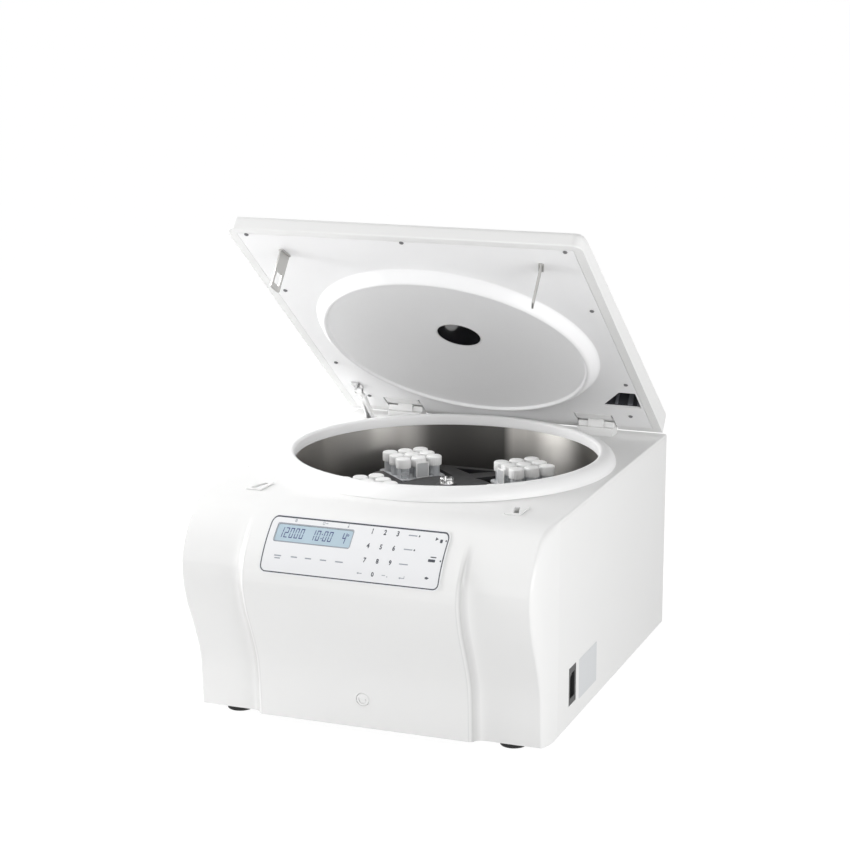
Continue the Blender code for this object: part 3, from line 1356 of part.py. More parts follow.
# Small controls
def release_plug():
    """A round cap in the front moulding, over the emergency release."""
    height = BASE_Z + PLUG_HEIGHT
    rows = front_rows(0.0)
    face = float(np.interp(height - PLUG_RADIUS, [z for y, z, proud in rows], [y - proud for y, z, proud in rows]))
    rod("release_plug", PLUG_RADIUS, (0, face - PLUG_STAND, height), PLUG_LENGTH,
        finish("plug", (0.82, 0.82, 0.81), 0.4), axis="Y", sides=SMALL_ROUND)


def switch_block(name, x, room, skin=None):
    y = REAR_Y - SWITCH_BACK
    z = BASE_Z + SWITCH_LIFT
    return block(
        name, (x[0], y - SWITCH_WIDTH / 2 - room, z - SWITCH_HEIGHT / 2 - room),
        (x[1], y + SWITCH_WIDTH / 2 + room, z + SWITCH_HEIGHT / 2 + room), skin,
    )


def mains_switch():
    """A black bezel let into the right side sheet, and the rocker in it."""
    y = REAR_Y - SWITCH_BACK
    z = BASE_Z + SWITCH_LIFT
    outer = HALF - FIT_GAP
    bezel = switch_block("switch_bezel", (outer - SWITCH_DEPTH, outer), 0.0, black_plastic())
    inner_y = SWITCH_WIDTH / 2 - SWITCH_FRAME * 2
    inner_z = SWITCH_HEIGHT / 2 - SWITCH_FRAME * 3
    cut(bezel, block("rocker_well", (outer - SWITCH_DEPTH - OVERRUN, y - inner_y, z - inner_z),
                     (outer + OVERRUN, y + inner_y, z + inner_z), None))
    pivot_x = outer - SWITCH_DEPTH * 0.55
    join(bezel, rod("rocker_axle", ROCKER_PIN, (pivot_x, y - inner_y - SWITCH_FRAME, z),
                    (inner_y + SWITCH_FRAME) * 2, None, axis="Y", sides=12))
    gap = SEAM_GAP
    reach = inner_z - gap * 2
    depth = SWITCH_DEPTH * 0.45
    slope = math.tan(ROCKER_TURN / 2) * reach
    face = outer - SWITCH_FRAME / 4
    outline = [
        (pivot_x - depth / 2, z - reach * 0.55), (face - SWITCH_FRAME / 2 - slope, z - reach),
        (face - SWITCH_FRAME - slope / 2, z), (face - SWITCH_FRAME / 4, z + reach), (pivot_x - depth / 2, z + reach * 0.55),
    ]
    rocker = outline_plate("power_rocker", [(a, b) for a, b in outline], y - inner_y + gap, y + inner_y - gap,
                           finish("rocker_black", (0.02, 0.02, 0.02), 0.35), axis="Y")
    cut(rocker, rod("rocker_bore", ROCKER_PIN + FIT_GAP, (pivot_x, y - inner_y - OVERRUN, z),
                    (inner_y + OVERRUN) * 2, None, axis="Y", sides=12))


def inlet_block(name, y, room, skin=None):
    z = BASE_Z + INLET_LIFT
    return block(
        name, (INLET_X - INLET_WIDTH / 2 - room, y[0], z - INLET_HEIGHT / 2 - room),
        (INLET_X + INLET_WIDTH / 2 + room, y[1], z + INLET_HEIGHT / 2 + room), skin,
    )


def electrics():
    rear = REAR_Y - REAR_SHEET * 2
    back = rear - INLET_DEPTH
    low, high = FLOOR_Z, FLOOR_Z + POWER_HEIGHT
    block("power_unit", (POWER_X - POWER_WIDTH / 2, back - FIT_GAP - POWER_DEPTH, low),
          (POWER_X + POWER_WIDTH / 2, back - FIT_GAP, high), finish("dark_case", (0.15, 0.15, 0.16), 0.6),
          bevel=SIDE_SHEET / 2)
    outer = REAR_Y - REAR_SHEET / 2
    inlet = inlet_block("mains_inlet", (back, outer), 0.0, black_plastic())
    z = BASE_Z + INLET_LIFT
    cut(inlet, block(
        "inlet_well",
        (INLET_X - INLET_WIDTH / 2 + INLET_WALL * 3, back + INLET_WALL / 2, z - INLET_HEIGHT / 2 + INLET_WALL),
        (INLET_X + INLET_WIDTH / 2 - INLET_WALL * 3, outer + OVERRUN, z + INLET_HEIGHT / 2 - INLET_WALL), None,
    ))
    for k, (across, up) in enumerate(((-1, 0), (0, 1), (1, 0))):
        x = INLET_X + across * BLADE_HEIGHT
        level = z + (up - 1 / 2) * BLADE_HEIGHT / 2
        join(inlet, block(
            f"inlet_blade_{k}", (x - BLADE_WIDTH / 2, back + INLET_WALL / 4, level - BLADE_HEIGHT / 2),
            (x + BLADE_WIDTH / 2, outer - INLET_WALL / 2, level + BLADE_HEIGHT / 2), None,
        ))


# Cooling
def cooling():
    r, h = COMPRESSOR_RADIUS, COMPRESSOR_HEIGHT
    clear = guard_outer_radius() + r + COMPRESSOR_BELT / 2 + COMPRESSOR_ROOM
    y = BOWL_Y - math.sqrt(clear**2 - COMPRESSOR_X**2)
    low = FLOOR_Z + COMPRESSOR_BELT * 2
    belt = low + h / 2
    profile = [
        (0, low + h), (r * 0.55, low + h * 0.98), (r * 0.92, low + h * 0.89), (r, low + h * 0.80),
        (r, belt + COMPRESSOR_BELT), (r + COMPRESSOR_BELT / 2, belt + COMPRESSOR_BELT),
        (r + COMPRESSOR_BELT / 2, belt - COMPRESSOR_BELT), (r, belt - COMPRESSOR_BELT), (r, low + h * 0.16),
        (r * 0.90, low + h * 0.06), (r * 0.55, low), (0, low),
    ]
    shell = turned("compressor", profile, finish("compressor_black", (0.03, 0.03, 0.03), 0.5, 0.3),
                   (COMPRESSOR_X, y), sides=32, closed=False)
    half = r * 0.8
    join(shell, block("compressor_feet", (COMPRESSOR_X - half, y - half, FLOOR_Z),
                      (COMPRESSOR_X + half, y + half, low + h * 0.04), None))
    smooth(shell)

    fan_rear = REAR_Y - REAR_SHEET * 2 - FIT_GAP
    fan_front = fan_rear - FAN_DEPTH
    fins_rear = fan_front - FIT_GAP
    fins_front = fins_rear - CONDENSER_DEPTH
    left = CONDENSER_X - CONDENSER_WIDTH / 2
    pitch = CONDENSER_WIDTH / (CONDENSER_FINS * 2 - 1)
    comb = [(left, fins_front)]
    for k in range(CONDENSER_FINS):
        x = left + k * pitch * 2
        comb += [(x, fins_rear), (x + pitch, fins_rear)]
        if k < CONDENSER_FINS - 1:
            comb += [(x + pitch, fins_front + CONDENSER_DEPTH / 4), (x + pitch * 2, fins_front + CONDENSER_DEPTH / 4)]
    comb.append((left + CONDENSER_WIDTH, fins_front))
    outline_plate("condenser", comb, FLOOR_Z, FLOOR_Z + CONDENSER_HEIGHT,
                  finish("condenser_fins", (0.6, 0.6, 0.6), 0.4, 1.0))

    centre = (CONDENSER_X, FLOOR_Z + CONDENSER_HEIGHT / 2)
    frame = block("fan_frame", (left, fan_front, FLOOR_Z), (left + CONDENSER_WIDTH, fan_rear, FLOOR_Z + CONDENSER_HEIGHT),
                  black_plastic())
    cut(frame, rod("fan_duct", FAN_RADIUS + FAN_BLADE_THICK * 1.5, (centre[0], fan_front - OVERRUN, centre[1]),
                   FAN_DEPTH + OVERRUN * 2, None, axis="Y", sides=32))
    stator = fan_rear - FAN_ARM
    for k in range(2):
        arm = (FAN_RADIUS + FAN_WALL, FAN_ARM / 2) if k else (FAN_ARM / 2, FAN_RADIUS + FAN_WALL)
        join(frame, block(f"fan_arm_{k}", (centre[0] - arm[0], stator, centre[1] - arm[1]),
                          (centre[0] + arm[0], fan_rear - FIT_GAP, centre[1] + arm[1]), None))
    join(frame, rod("fan_stator", FAN_HUB - FAN_BLADE_THICK, (centre[0], stator - FIT_GAP, centre[1]),
                    FAN_ARM / 2, None, axis="Y", sides=24))
    hub_front = fan_front + FAN_BLADE_THICK
    hub_rear = stator - FAN_BLADE_THICK
    join(frame, rod("fan_axle", FAN_AXLE, (centre[0], hub_front + FAN_BLADE_THICK, centre[1]),
                    stator - hub_front, None, axis="Y", sides=16))
    axis = bpy.data.objects.new("fan_axis", None)
    PARTS.objects.link(axis)
    axis.location = (centre[0], 0, centre[1])
    hub_length = hub_rear - hub_front
    blades = rod("fan_blades", FAN_HUB, (0, hub_front, 0), hub_length, black_plastic(), axis="Y", parent=axis,
                 sides=24)
    for k in range(FAN_BLADES):
        width = hub_length * 0.85
        build = bmesh.new()
        bmesh.ops.create_cube(build, size=1)
        bmesh.ops.scale(build, vec=(FAN_RADIUS - FAN_HUB * 0.8, width, FAN_BLADE_THICK), verts=build.verts)
        bmesh.ops.rotate(build, matrix=Matrix.Rotation(FAN_TILT, 3, "X"), verts=build.verts)
        reach = (FAN_RADIUS + FAN_HUB * 0.8) / 2
        bmesh.ops.translate(build, vec=(reach, hub_front + hub_length / 2, 0), verts=build.verts)
        turn = Matrix.Rotation(math.tau * k / FAN_BLADES, 3, "Y")
        bmesh.ops.rotate(build, matrix=turn, verts=build.verts)
        join(blades, add_object(f"fan_blade_{k}", to_mesh("fan_blade", build), None, axis))
    cut(blades, rod("fan_bore", FAN_AXLE + FIT_GAP, (0, hub_front - OVERRUN, 0), hub_length + OVERRUN * 2, None,
                    axis="Y", parent=axis, sides=16))

    start = COMPRESSOR_X - r - FIT_GAP
    level = belt - COMPRESSOR_BELT * 6
    rear_x = line_rear_x()
    route = [
        (start, y, level), (start - LINE_RADIUS * 3, y, level),
        (LINE_CROSS_X + LINE_RADIUS, y + LINE_RADIUS * 2, (level + LINE_Z) / 2),
        (LINE_CROSS_X, y + COMPRESSOR_RADIUS * 0.4, LINE_Z), (LINE_CROSS_X, BOWL_Y - MOTOR_RADIUS, LINE_Z),
        (LINE_CROSS_X, BOWL_Y + MOTOR_RADIUS * 2, LINE_Z),
        (rear_x, BOWL_Y + (BOWL_Y - y) * 0.76, LINE_Z), (rear_x, fins_front - LINE_RADIUS * 3, LINE_Z),
        (rear_x, fins_front - FIT_GAP, LINE_Z),
    ]
    points = [route[0], *through(route[1:-1], 4), route[-1]]
    bent_tube("refrigerant_line", points, LINE_RADIUS, copper())


upper_cover()
control_panel()
base_and_sheets()
feet()
chamber()
drive()
rotor()
lid()
release_plug()
mains_switch()
electrics()
cooling()
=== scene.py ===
# %% [markdown]
# # Dressing a bench centrifuge
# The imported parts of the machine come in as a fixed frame: a case, a lid on two hinges, a steel
# chamber and a rotor with four swinging buckets. Every cell after this one gives one piece or one
# finish the look of the real thing. Plain boxes could stand in for each part, but a render shows
# edges, seams and surface texture first, so the visible pieces are built again with finer curves,
# in the same places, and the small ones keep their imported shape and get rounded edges.

# %% Load the frame
import math

import bmesh
import bpy
import numpy as np
from mathutils import Matrix, Vector


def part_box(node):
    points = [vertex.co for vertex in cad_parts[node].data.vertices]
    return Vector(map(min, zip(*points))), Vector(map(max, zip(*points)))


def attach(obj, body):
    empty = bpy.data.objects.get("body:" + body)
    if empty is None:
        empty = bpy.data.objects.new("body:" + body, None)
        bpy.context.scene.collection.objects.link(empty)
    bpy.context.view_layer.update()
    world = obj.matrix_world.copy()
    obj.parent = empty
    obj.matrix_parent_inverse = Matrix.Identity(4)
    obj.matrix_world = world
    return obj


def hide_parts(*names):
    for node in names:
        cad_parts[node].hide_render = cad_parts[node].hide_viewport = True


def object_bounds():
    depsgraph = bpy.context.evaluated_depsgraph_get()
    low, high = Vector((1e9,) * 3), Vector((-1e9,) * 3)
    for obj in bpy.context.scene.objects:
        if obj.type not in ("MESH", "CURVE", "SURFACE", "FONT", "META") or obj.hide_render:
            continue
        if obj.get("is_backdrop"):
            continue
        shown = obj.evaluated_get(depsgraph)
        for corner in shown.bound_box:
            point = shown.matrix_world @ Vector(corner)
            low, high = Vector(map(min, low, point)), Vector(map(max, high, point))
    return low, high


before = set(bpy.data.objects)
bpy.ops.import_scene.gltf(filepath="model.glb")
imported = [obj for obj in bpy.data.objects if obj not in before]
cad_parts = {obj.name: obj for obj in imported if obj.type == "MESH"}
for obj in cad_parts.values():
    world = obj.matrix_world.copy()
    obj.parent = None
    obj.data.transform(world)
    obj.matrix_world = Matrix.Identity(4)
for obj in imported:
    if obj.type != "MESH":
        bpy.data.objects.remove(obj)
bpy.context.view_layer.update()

# %% [markdown]
# ## Sizes shared by many pieces
# The real machine is half a metre wide. Its case is measured from the rear plane, its chamber from
# the deck, and its lid from the hinge line, so the same few numbers place everything. They could be
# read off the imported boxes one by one, but naming them once keeps each cell short.

# %% Name the main sizes
HALF = 0.250
REAR_Y = 0.318
BASE_Z = 0.009
CASE_HEIGHT = 0.2925
DECK_Z = BASE_Z + CASE_HEIGHT
BOWL_Y = 0.0476
BOWL = (0, BOWL_Y)
JOIN_Y = -0.210
GAP = 0.0003
LID_ANGLE = math.radians(37.7)
HINGE = Vector((0, 0.28148, 0.3310))
HINGE_S, HINGE_N = 0.0236, 0.0104
LID_LENGTH = 0.549
RING_S = 0.2575
HINGE_X, HINGE_HALF = 0.1525, 0.0275
STRUT_X = -0.205
PLUG_Z = 0.049
print("case:", 2 * HALF, "m wide, deck", DECK_Z, "m up")

# %% [markdown]
# ## Shader maths as Python
# A finish is a network of nodes, and a network is hard to read as a list of links. One small class
# wraps a socket, so that `1 - mask * 0.3` adds its own Math nodes. Frames of nodes could be built by
# hand in the editor instead, but expressions show at a glance what changes over a surface.

# %% Wrap a socket
class Wire:
    """A socket of a material's nodes, with the operators that shader maths needs."""

    def __init__(self, tree, socket=None):
        self.tree, self.socket = tree, socket

    def feed(self, socket, value):
        if isinstance(value, Wire):
            self.tree.links.new(value.socket, socket)
        else:
            socket.default_value = value

    def add(self, kind, settings=(), sockets=(), output=0):
        """Add any other node: its settings first, then values or links for its sockets."""
        node = self.tree.nodes.new("ShaderNode" + kind)
        for name, value in dict(settings).items():
            if name == "stops":
                for stop, (place, shade) in zip(self.stops(node, len(value)), value):
                    stop.position, stop.color = place, (shade, shade, shade, 1)
            else:
                setattr(node, name, value)
        for name, value in dict(sockets).items():
            self.feed(node.inputs[name], value)
        return Wire(self.tree, node.outputs[output] if node.outputs else None)

    def stops(self, node, count):
        marks = node.color_ramp.elements
        while len(marks) < count:
            marks.new(0.5)
        return marks

    def maths(self, operation, *values):
        return self.add("Math", {"operation": operation}, enumerate(values))

    def __add__(self, other):
        return self.maths("ADD", self, other)

    def __sub__(self, other):
        return self.maths("SUBTRACT", self, other)

    def __rsub__(self, other):
        return self.maths("SUBTRACT", other, self)

    def __mul__(self, other):
        return self.maths("MULTIPLY", self, other)

    __radd__ = __add__
    __rmul__ = __mul__

    def ramp(self, *stops):
        return self.add("ValToRGB", {"stops": stops}, {"Fac": self})

    def blend(self, low, high):
        """Mix two colours by this value."""
        return self.add("Mix", {"data_type": "RGBA"}, {0: self, 6: low, 7: high}, output=2)

    def tinted(self, tone):
        """Multiply this colour by another, or by a value."""
        settings = {"data_type": "RGBA", "blend_type": "MULTIPLY"}
        return self.add("Mix", settings, {0: 1.0, 6: self, 7: tone}, output=2)


def place(wire, scale=(1, 1, 1)):
    """The point on the piece, in metres, stretched by a scale."""
    where = wire.add("TexCoord", output=3)
    return wire.add("Mapping", {}, {"Vector": where, "Scale": scale})


def noise(wire, scale, detail=3, stretch=(1, 1, 1)):
    where = place(wire, stretch)
    return wire.add("TexNoise", {}, {"Vector": where, "Scale": scale, "Detail": detail})


# %% [markdown]
# ## One recipe for every finish
# Mouldings, paint, steel and rubber differ in colour, gloss and fine relief, and all three change a
# little over a real surface. Each finish could be its own network, but most share the same layout:
# a broad stain in the colour, a finer drift in the gloss, and a bump. So one function builds that,
# and the special finishes add to it.

# %% Build a finish
def shade(colour, share):
    return (*[min(1, channel * share) for channel in colour], 1)


def finish(name, colour, gloss, drift=0.05, relief=0.00002, grain=900, stain=0.03, broad=9,
           stretch=(1, 1, 1), **fixed):
    """A material whose colour, roughness and relief vary. Fixed values go straight on their sockets."""
    made = bpy.data.materials.new(name)
    made.use_nodes = True
    tree = made.node_tree
    shader = tree.nodes["Principled BSDF"]
    start = Wire(tree)
    clouds = noise(start, broad, 4)
    fine = noise(start, grain, 3, stretch)
    colours = clouds.blend(shade(colour, 1 - stain), shade(colour, 1 + stain))
    start.feed(shader.inputs["Base Color"], colours)
    wear = noise(start, grain / 12, 2, stretch)
    start.feed(shader.inputs["Roughness"], wear * drift + (gloss - drift / 2))
    bump = start.add("Bump", {}, {"Height": fine, "Distance": relief, "Strength": 1.0})
    start.feed(shader.inputs["Normal"], bump)
    for socket, value in fixed.items():
        shader.inputs[socket.replace("_", " ")].default_value = value
    return made


# The moulding's colour is multiplied further down by painted shade along the front's step.
WHITE = finish("moulded_white", (0.83, 0.83, 0.825), 0.34, relief=0.000012, grain=1400, stain=0.008,
               Specular_IOR_Level=0.45)
PAINT = finish("painted_white", (0.82, 0.82, 0.815), 0.42, relief=0.00003, stain=0.008)
LINING = finish("lid_lining", (0.90, 0.90, 0.905), 0.46, relief=0.000025, grain=1300, stain=0.012)
SEAL = finish("seal_white", (0.86, 0.86, 0.86), 0.50, relief=0.00001, grain=700, stain=0.012)
# The steel's colour is multiplied further down by painted reflections and painted shade.
STEEL = finish("chamber_steel", (0.95, 0.92, 0.875), 0.36, drift=0.12, relief=0.000006, grain=160,
               stain=0.05, stretch=(0.35, 0.35, 14), Metallic=1.0, Anisotropic=0.85,
               Anisotropic_Rotation=0.25)
BRIGHT = finish("bright_steel", (0.66, 0.66, 0.66), 0.22, drift=0.12, relief=0.000005, grain=500,
                stain=0.04, stretch=(1, 1, 8), Metallic=1.0)
SATIN = finish("satin_steel", (0.52, 0.515, 0.50), 0.42, drift=0.12, grain=400, stain=0.04, Metallic=1.0)
TUBE = finish("strut_chrome", (0.86, 0.86, 0.86), 0.34, drift=0.10, grain=500, stain=0.05,
              stretch=(8, 1, 1), Metallic=0.8)
SCREW = finish("screw_zinc", (0.20, 0.20, 0.205), 0.46, drift=0.1, grain=700, stain=0.1, Metallic=0.5)
ZINC = finish("zinc_sheet", (0.52, 0.53, 0.54), 0.42, drift=0.2, grain=220, stain=0.12, Metallic=1.0)
FINS = finish("condenser_fins", (0.62, 0.62, 0.62), 0.34, drift=0.1, grain=500, stain=0.06, Metallic=1.0)
COPPER = finish("copper_tube", (0.70, 0.36, 0.22), 0.28, drift=0.14, grain=300, stain=0.1, Metallic=1.0)
CASTING = finish("motor_casting", (0.17, 0.18, 0.19), 0.5, relief=0.0001, grain=360, stain=0.1,
                 Metallic=0.4)
COATED = finish("rotor_black", (0.018, 0.018, 0.019), 0.36, drift=0.10, grain=1100, stain=0.15)
BLACK = finish("black_plastic", (0.016, 0.016, 0.017), 0.45, relief=0.00003, stain=0.12)
GLOSSY = finish("rocker_gloss", (0.012, 0.012, 0.013), 0.22, relief=0.00001, stain=0.12)
# Painted shade: a near-black colour for the shade inside the lid's access opening.
WELL_SHADE_PAINT = finish("well_painted_shade", (0.045, 0.047, 0.055), 0.5, relief=0.00003, grain=700, stain=0.12)
# Painted shade: dark grey, a little lighter than the well, for the ribs inside the opening.
RIB_SHADE_PAINT = finish("rib_painted_shade", (0.14, 0.145, 0.16), 0.5, relief=0.00003, grain=700, stain=0.08)
RUBBER = finish("foot_rubber", (0.02, 0.02, 0.02), 0.72, drift=0.12, relief=0.00006, grain=600, stain=0.2)
FOAM = finish("insulation", (0.07, 0.07, 0.07), 0.85, relief=0.0003, grain=420, stain=0.2)
CAPS = finish("cap_white", (0.92, 0.92, 0.915), 0.36, relief=0.00001, stain=0.01)
TUBES = finish("tube_clear", (0.74, 0.76, 0.78), 0.28, relief=0.00001, grain=500,
               Transmission_Weight=0.45, IOR=1.45)
RACK = finish("rack_grey", (0.66, 0.67, 0.69), 0.40)
LABEL = finish("label_grey", (0.52, 0.53, 0.54), 0.50, relief=0.00001, stain=0.02)
PLATE = finish("plate_pale", (0.62, 0.635, 0.65), 0.34, relief=0.000008, grain=700, stain=0.02)
FILM = finish("keypad_film", (0.80, 0.805, 0.82), 0.30, relief=0.000012, grain=1700, stain=0.008,
              Coat_Weight=0.2)
SCREEN = finish("display_blue", (0.44, 0.56, 0.64), 0.16, relief=0.000004, stain=0.05, broad=40,
                Coat_Weight=0.4)
INK = finish("printed_grey", (0.055, 0.06, 0.075), 0.42, relief=0.000004, stain=0.05)
PALE_INK = finish("printed_pale", (0.30, 0.32, 0.36), 0.42, relief=0.000004, stain=0.05)
SEGMENT = finish("segment_violet", (0.035, 0.04, 0.17), 0.30, relief=0.000003, stain=0.05)
GLASS = finish("sight_glass", (0.012, 0.012, 0.014), 0.07, relief=0.000002, grain=300, stain=0.2,
               Coat_Weight=1.0)
BOARD = finish("green_board", (0.02, 0.16, 0.06), 0.35, grain=500, stain=0.1)
print("materials:", len(bpy.data.materials))

# %% [markdown]
# ## Painted reflections and painted shade
# The chamber's turned wall throws back broad light and dark streaks, and the step down each side of
# the front has two soft dark lines. Lamps could be placed until both appear, but they would shift
# every other tone. So both are painted: a finish's colour is multiplied by a tone of painted light
# and shade that is worked out from the place on the piece: the direction round the chamber, or the
# distance across the step.

# %% Paint reflections on the chamber's wall and shade on the front's step
# Painted reflections: light and dark bands in the steel's colour, by direction round the chamber.
PAINTED_REFLECTIONS = ((0.0, 1.0), (0.06, 0.95), (0.2, 0.62), (0.4, 0.55), (0.52, 0.38), (0.635, 0.40), (0.655, 0.42),
           (0.685, 0.46), (0.705, 0.78), (0.715, 1.0), (0.732, 1.0), (0.742, 0.19), (0.825, 0.17),
           (0.840, 0.28), (0.861, 0.31), (0.917, 0.69), (1.0, 1.0))
# Painted shade: the wall's colour darkens towards the chamber's floor.
PAINTED_WALL_SHADE = ((0.0, 0.45), (0.6, 0.62), (1.0, 1.0))
# Painted shade across the step: dark at its outer edge and darker in its crease.
PAINTED_CREASE_SHADE = ((0.0, 0), (0.10, 0.35), (0.24, 0.25), (0.42, 1.0), (0.62, 0.75), (1.0, 0))
CREASE_START, CREASE_WIDTH, CREASE_SHADE_STRENGTH = 0.146, 0.015, 0.34


def share_of(wire, low, high):
    return (wire - low) * (1 / (high - low))


def streak(x, y, z):
    """Painted reflections round the chamber's wall, with painted shade towards its floor."""
    turned = x.maths("ARCTAN2", y - BOWL_Y, x) * (0.5 / math.pi) + 0.5
    down = share_of(z, DECK_Z - 0.16, DECK_Z + 0.01)
    return turned.ramp(*PAINTED_REFLECTIONS).tinted(down.ramp(*PAINTED_WALL_SHADE))


def crease(x, y, z):
    """Two lines of painted shade down each side of the raised middle, fading out under the deck."""
    across = share_of(x.maths("ABSOLUTE", x), CREASE_START, CREASE_START + CREASE_WIDTH)
    fade = share_of(z, DECK_Z - 0.06, DECK_Z - 0.022).ramp((0.0, 1.0), (1.0, 0.0))
    return 1 - across.ramp(*PAINTED_CREASE_SHADE) * fade * CREASE_SHADE_STRENGTH


# Both tones are painted light and shade, multiplied into the finishes' colours.
for material, tone in ((STEEL, streak), (WHITE, crease)):
    shader = material.node_tree.nodes["Principled BSDF"]
    colour = Wire(material.node_tree, shader.inputs["Base Color"].links[0].from_socket)
    parts = colour.add("SeparateXYZ", {}, {"Vector": place(colour)}).socket.node.outputs
    x, y, z = [Wire(material.node_tree, part) for part in parts]
    colour.feed(shader.inputs["Base Color"], colour.tinted(tone(x, y, z)))
    print("tinted by", tone.__name__ + ":", material.name)

# %% [markdown]
# ## Mesh helpers
# Round things are turned, mouldings are lofted, and flat plates are cut from an outline. Blender has
# a modifier or operator for each, and small functions around them keep the calls short. Every mesh
# is written in the machine's own frame, so a piece only has to be put on its body.

# %% Make and place a piece
def skin(item, material, degrees=32):
    item.data.materials.clear()
    item.data.materials.append(material)
    item.data.shade_smooth()
    item.data.set_sharp_from_angle(angle=math.radians(degrees))


def show(name, mesh, material, body, replaces=(), bevel=0.0, degrees=32):
    """Put a mesh in the scene as a piece that rides on a body of the machine."""
    item = bpy.data.objects.new(name, mesh)
    bpy.context.scene.collection.objects.link(item)
    skin(item, material, degrees)
    if bevel:
        round_edges(item, bevel)
    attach(item, body)
    if replaces:
        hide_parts(*replaces)


def round_edges(item, width, segments=2):
    edge = item.modifiers.new("rounded", "BEVEL")
    edge.width, edge.segments = width, segments
    edge.limit_method, edge.angle_limit = "ANGLE", math.radians(40)
    edge.harden_normals = True
    item.modifiers.new("shading", "WEIGHTED_NORMAL").keep_sharp = True


def mesh_of(build):
    mesh = bpy.data.meshes.new("shape")
    bmesh.ops.recalc_face_normals(build, faces=build.faces)
    build.to_mesh(mesh)
    build.free()
    return mesh


def merged(*meshes):
    """Several meshes in one."""
    build = bmesh.new()
    for mesh in meshes:
        build.from_mesh(mesh)
        bpy.data.meshes.remove(mesh)
    mesh = bpy.data.meshes.new("merged")
    build.to_mesh(mesh)
    build.free()
    return mesh


def moved(mesh, matrix):
    mesh.transform(matrix)
    return mesh


def shifted(mesh, x=0.0, y=0.0, z=0.0):
    return moved(mesh, Matrix.Translation((x, y, z)))


def solid(mesh, name="tool"):
    item = bpy.data.objects.new(name, mesh)
    bpy.context.scene.collection.objects.link(item)
    return item


def carved(mesh, *tools, operation="DIFFERENCE"):
    """Cut, join or trim a mesh with others, and give the result."""
    item = solid(mesh)
    others = [solid(tool) for tool in tools]
    for other in others:
        step = item.modifiers.new("carve", "BOOLEAN")
        step.operation, step.solver, step.object = operation, "EXACT", other
    graph = bpy.context.evaluated_depsgraph_get()
    made = bpy.data.meshes.new_from_object(item.evaluated_get(graph))
    for leftover in (item, *others):
        old = leftover.data
        bpy.data.objects.remove(leftover)
        bpy.data.meshes.remove(old)
    made.materials.clear()
    return made


def joined(mesh, *tools):
    return carved(mesh, *tools, operation="UNION")


# %% [markdown]
# ## Shapes from lines
# A loft joins loops of points, a turn spins a profile about an axis, and a flat plate fills an
# outline that may have holes. The same shapes could be typed in as vertices, but a profile is what
# a drawing of the part would show, so these keep the cells readable.

# %% Turn, loft and cut shapes
def loft(loops):
    """A closed body through loops of equally many points."""
    build = bmesh.new()
    rings = [[build.verts.new(point) for point in loop] for loop in loops]
    count = len(loops[0])
    for below, above in zip(rings, rings[1:]):
        for i in range(count):
            build.faces.new((below[i], below[i - 1], above[i - 1], above[i]))
    build.faces.new(rings[0])
    build.faces.new(rings[-1][::-1])
    return mesh_of(build)


def turn(profile, centre=BOWL, steps=64, wave=None):
    """Turn a profile of (radius, height) points about an upright axis. A wave changes the radius."""
    on_axis = [r < 1e-6 for r, z in profile]
    build = bmesh.new()
    rings = []
    for (r, z), pole in zip(profile, on_axis):
        if pole:
            rings.append([build.verts.new((*centre, z))] * steps)
            continue
        ring = []
        for k in range(steps):
            angle = math.tau * k / steps
            reach = r + (wave(angle, r, z) if wave else 0)
            x, y = centre[0] + reach * math.cos(angle), centre[1] + reach * math.sin(angle)
            ring.append(build.verts.new((x, y, z)))
        rings.append(ring)
    open_ended = on_axis[0] and on_axis[-1]
    for below, above in zip(rings, rings[1:] if open_ended else rings[1:] + rings[:1]):
        for k in range(steps):
            corners = (below[k], below[k - 1], above[k - 1], above[k])
            corners = list(dict.fromkeys(corners))
            if len(corners) > 2:
                build.faces.new(corners)
    return mesh_of(build)


def block(low, high):
    build = bmesh.new()
    bmesh.ops.create_cube(build, size=1)
    low, high = Vector(low), Vector(high)
    bmesh.ops.scale(build, vec=high - low, verts=build.verts)
    bmesh.ops.translate(build, vec=(low + high) / 2, verts=build.verts)
    return mesh_of(build)


def pin(start, end, radius, sides=32):
    """A round bar between two points."""
    start, end = Vector(start), Vector(end)
    build = bmesh.new()
    along = end - start
    stand = Matrix.Translation((start + end) / 2) @ along.to_track_quat("Z", "Y").to_matrix().to_4x4()
    bmesh.ops.create_cone(build, cap_ends=True, segments=sides, radius1=radius, radius2=radius,
                          depth=along.length, matrix=stand)
    return mesh_of(build)


def flat(outlines, low, high, axis="Z"):
    """A plate from one outline and any holes in it. On X it is drawn in (y, z), on Y in (x, z)."""
    curve = bpy.data.curves.new("outline", "CURVE")
    curve.dimensions, curve.fill_mode, curve.extrude = "2D", "BOTH", (high - low) / 2
    for outline in outlines:
        spline = curve.splines.new("POLY")
        spline.points.add(len(outline) - 1)
        for point, (a, b) in zip(spline.points, outline):
            point.co = (a, b, 0, 1)
        spline.use_cyclic_u = True
    return from_curve(curve, (low + high) / 2, axis)


def from_curve(curve, middle, axis):
    item = solid(curve)
    bpy.context.view_layer.update()
    made = bpy.data.meshes.new_from_object(item)
    bpy.data.objects.remove(item)
    bpy.data.curves.remove(curve)
    build = bmesh.new()
    build.from_mesh(made)
    bpy.data.meshes.remove(made)
    bmesh.ops.remove_doubles(build, verts=build.verts, dist=1e-6)
    bmesh.ops.translate(build, vec=(0, 0, middle), verts=build.verts)
    frames = {
        "Z": Matrix.Identity(4),
        "X": Matrix(((0, 0, 1, 0), (1, 0, 0, 0), (0, 1, 0, 0), (0, 0, 0, 1))),
        "Y": Matrix(((1, 0, 0, 0), (0, 0, 1, 0), (0, 1, 0, 0), (0, 0, 0, 1))),
    }
    bmesh.ops.transform(build, matrix=frames[axis], verts=build.verts)
    return mesh_of(build)


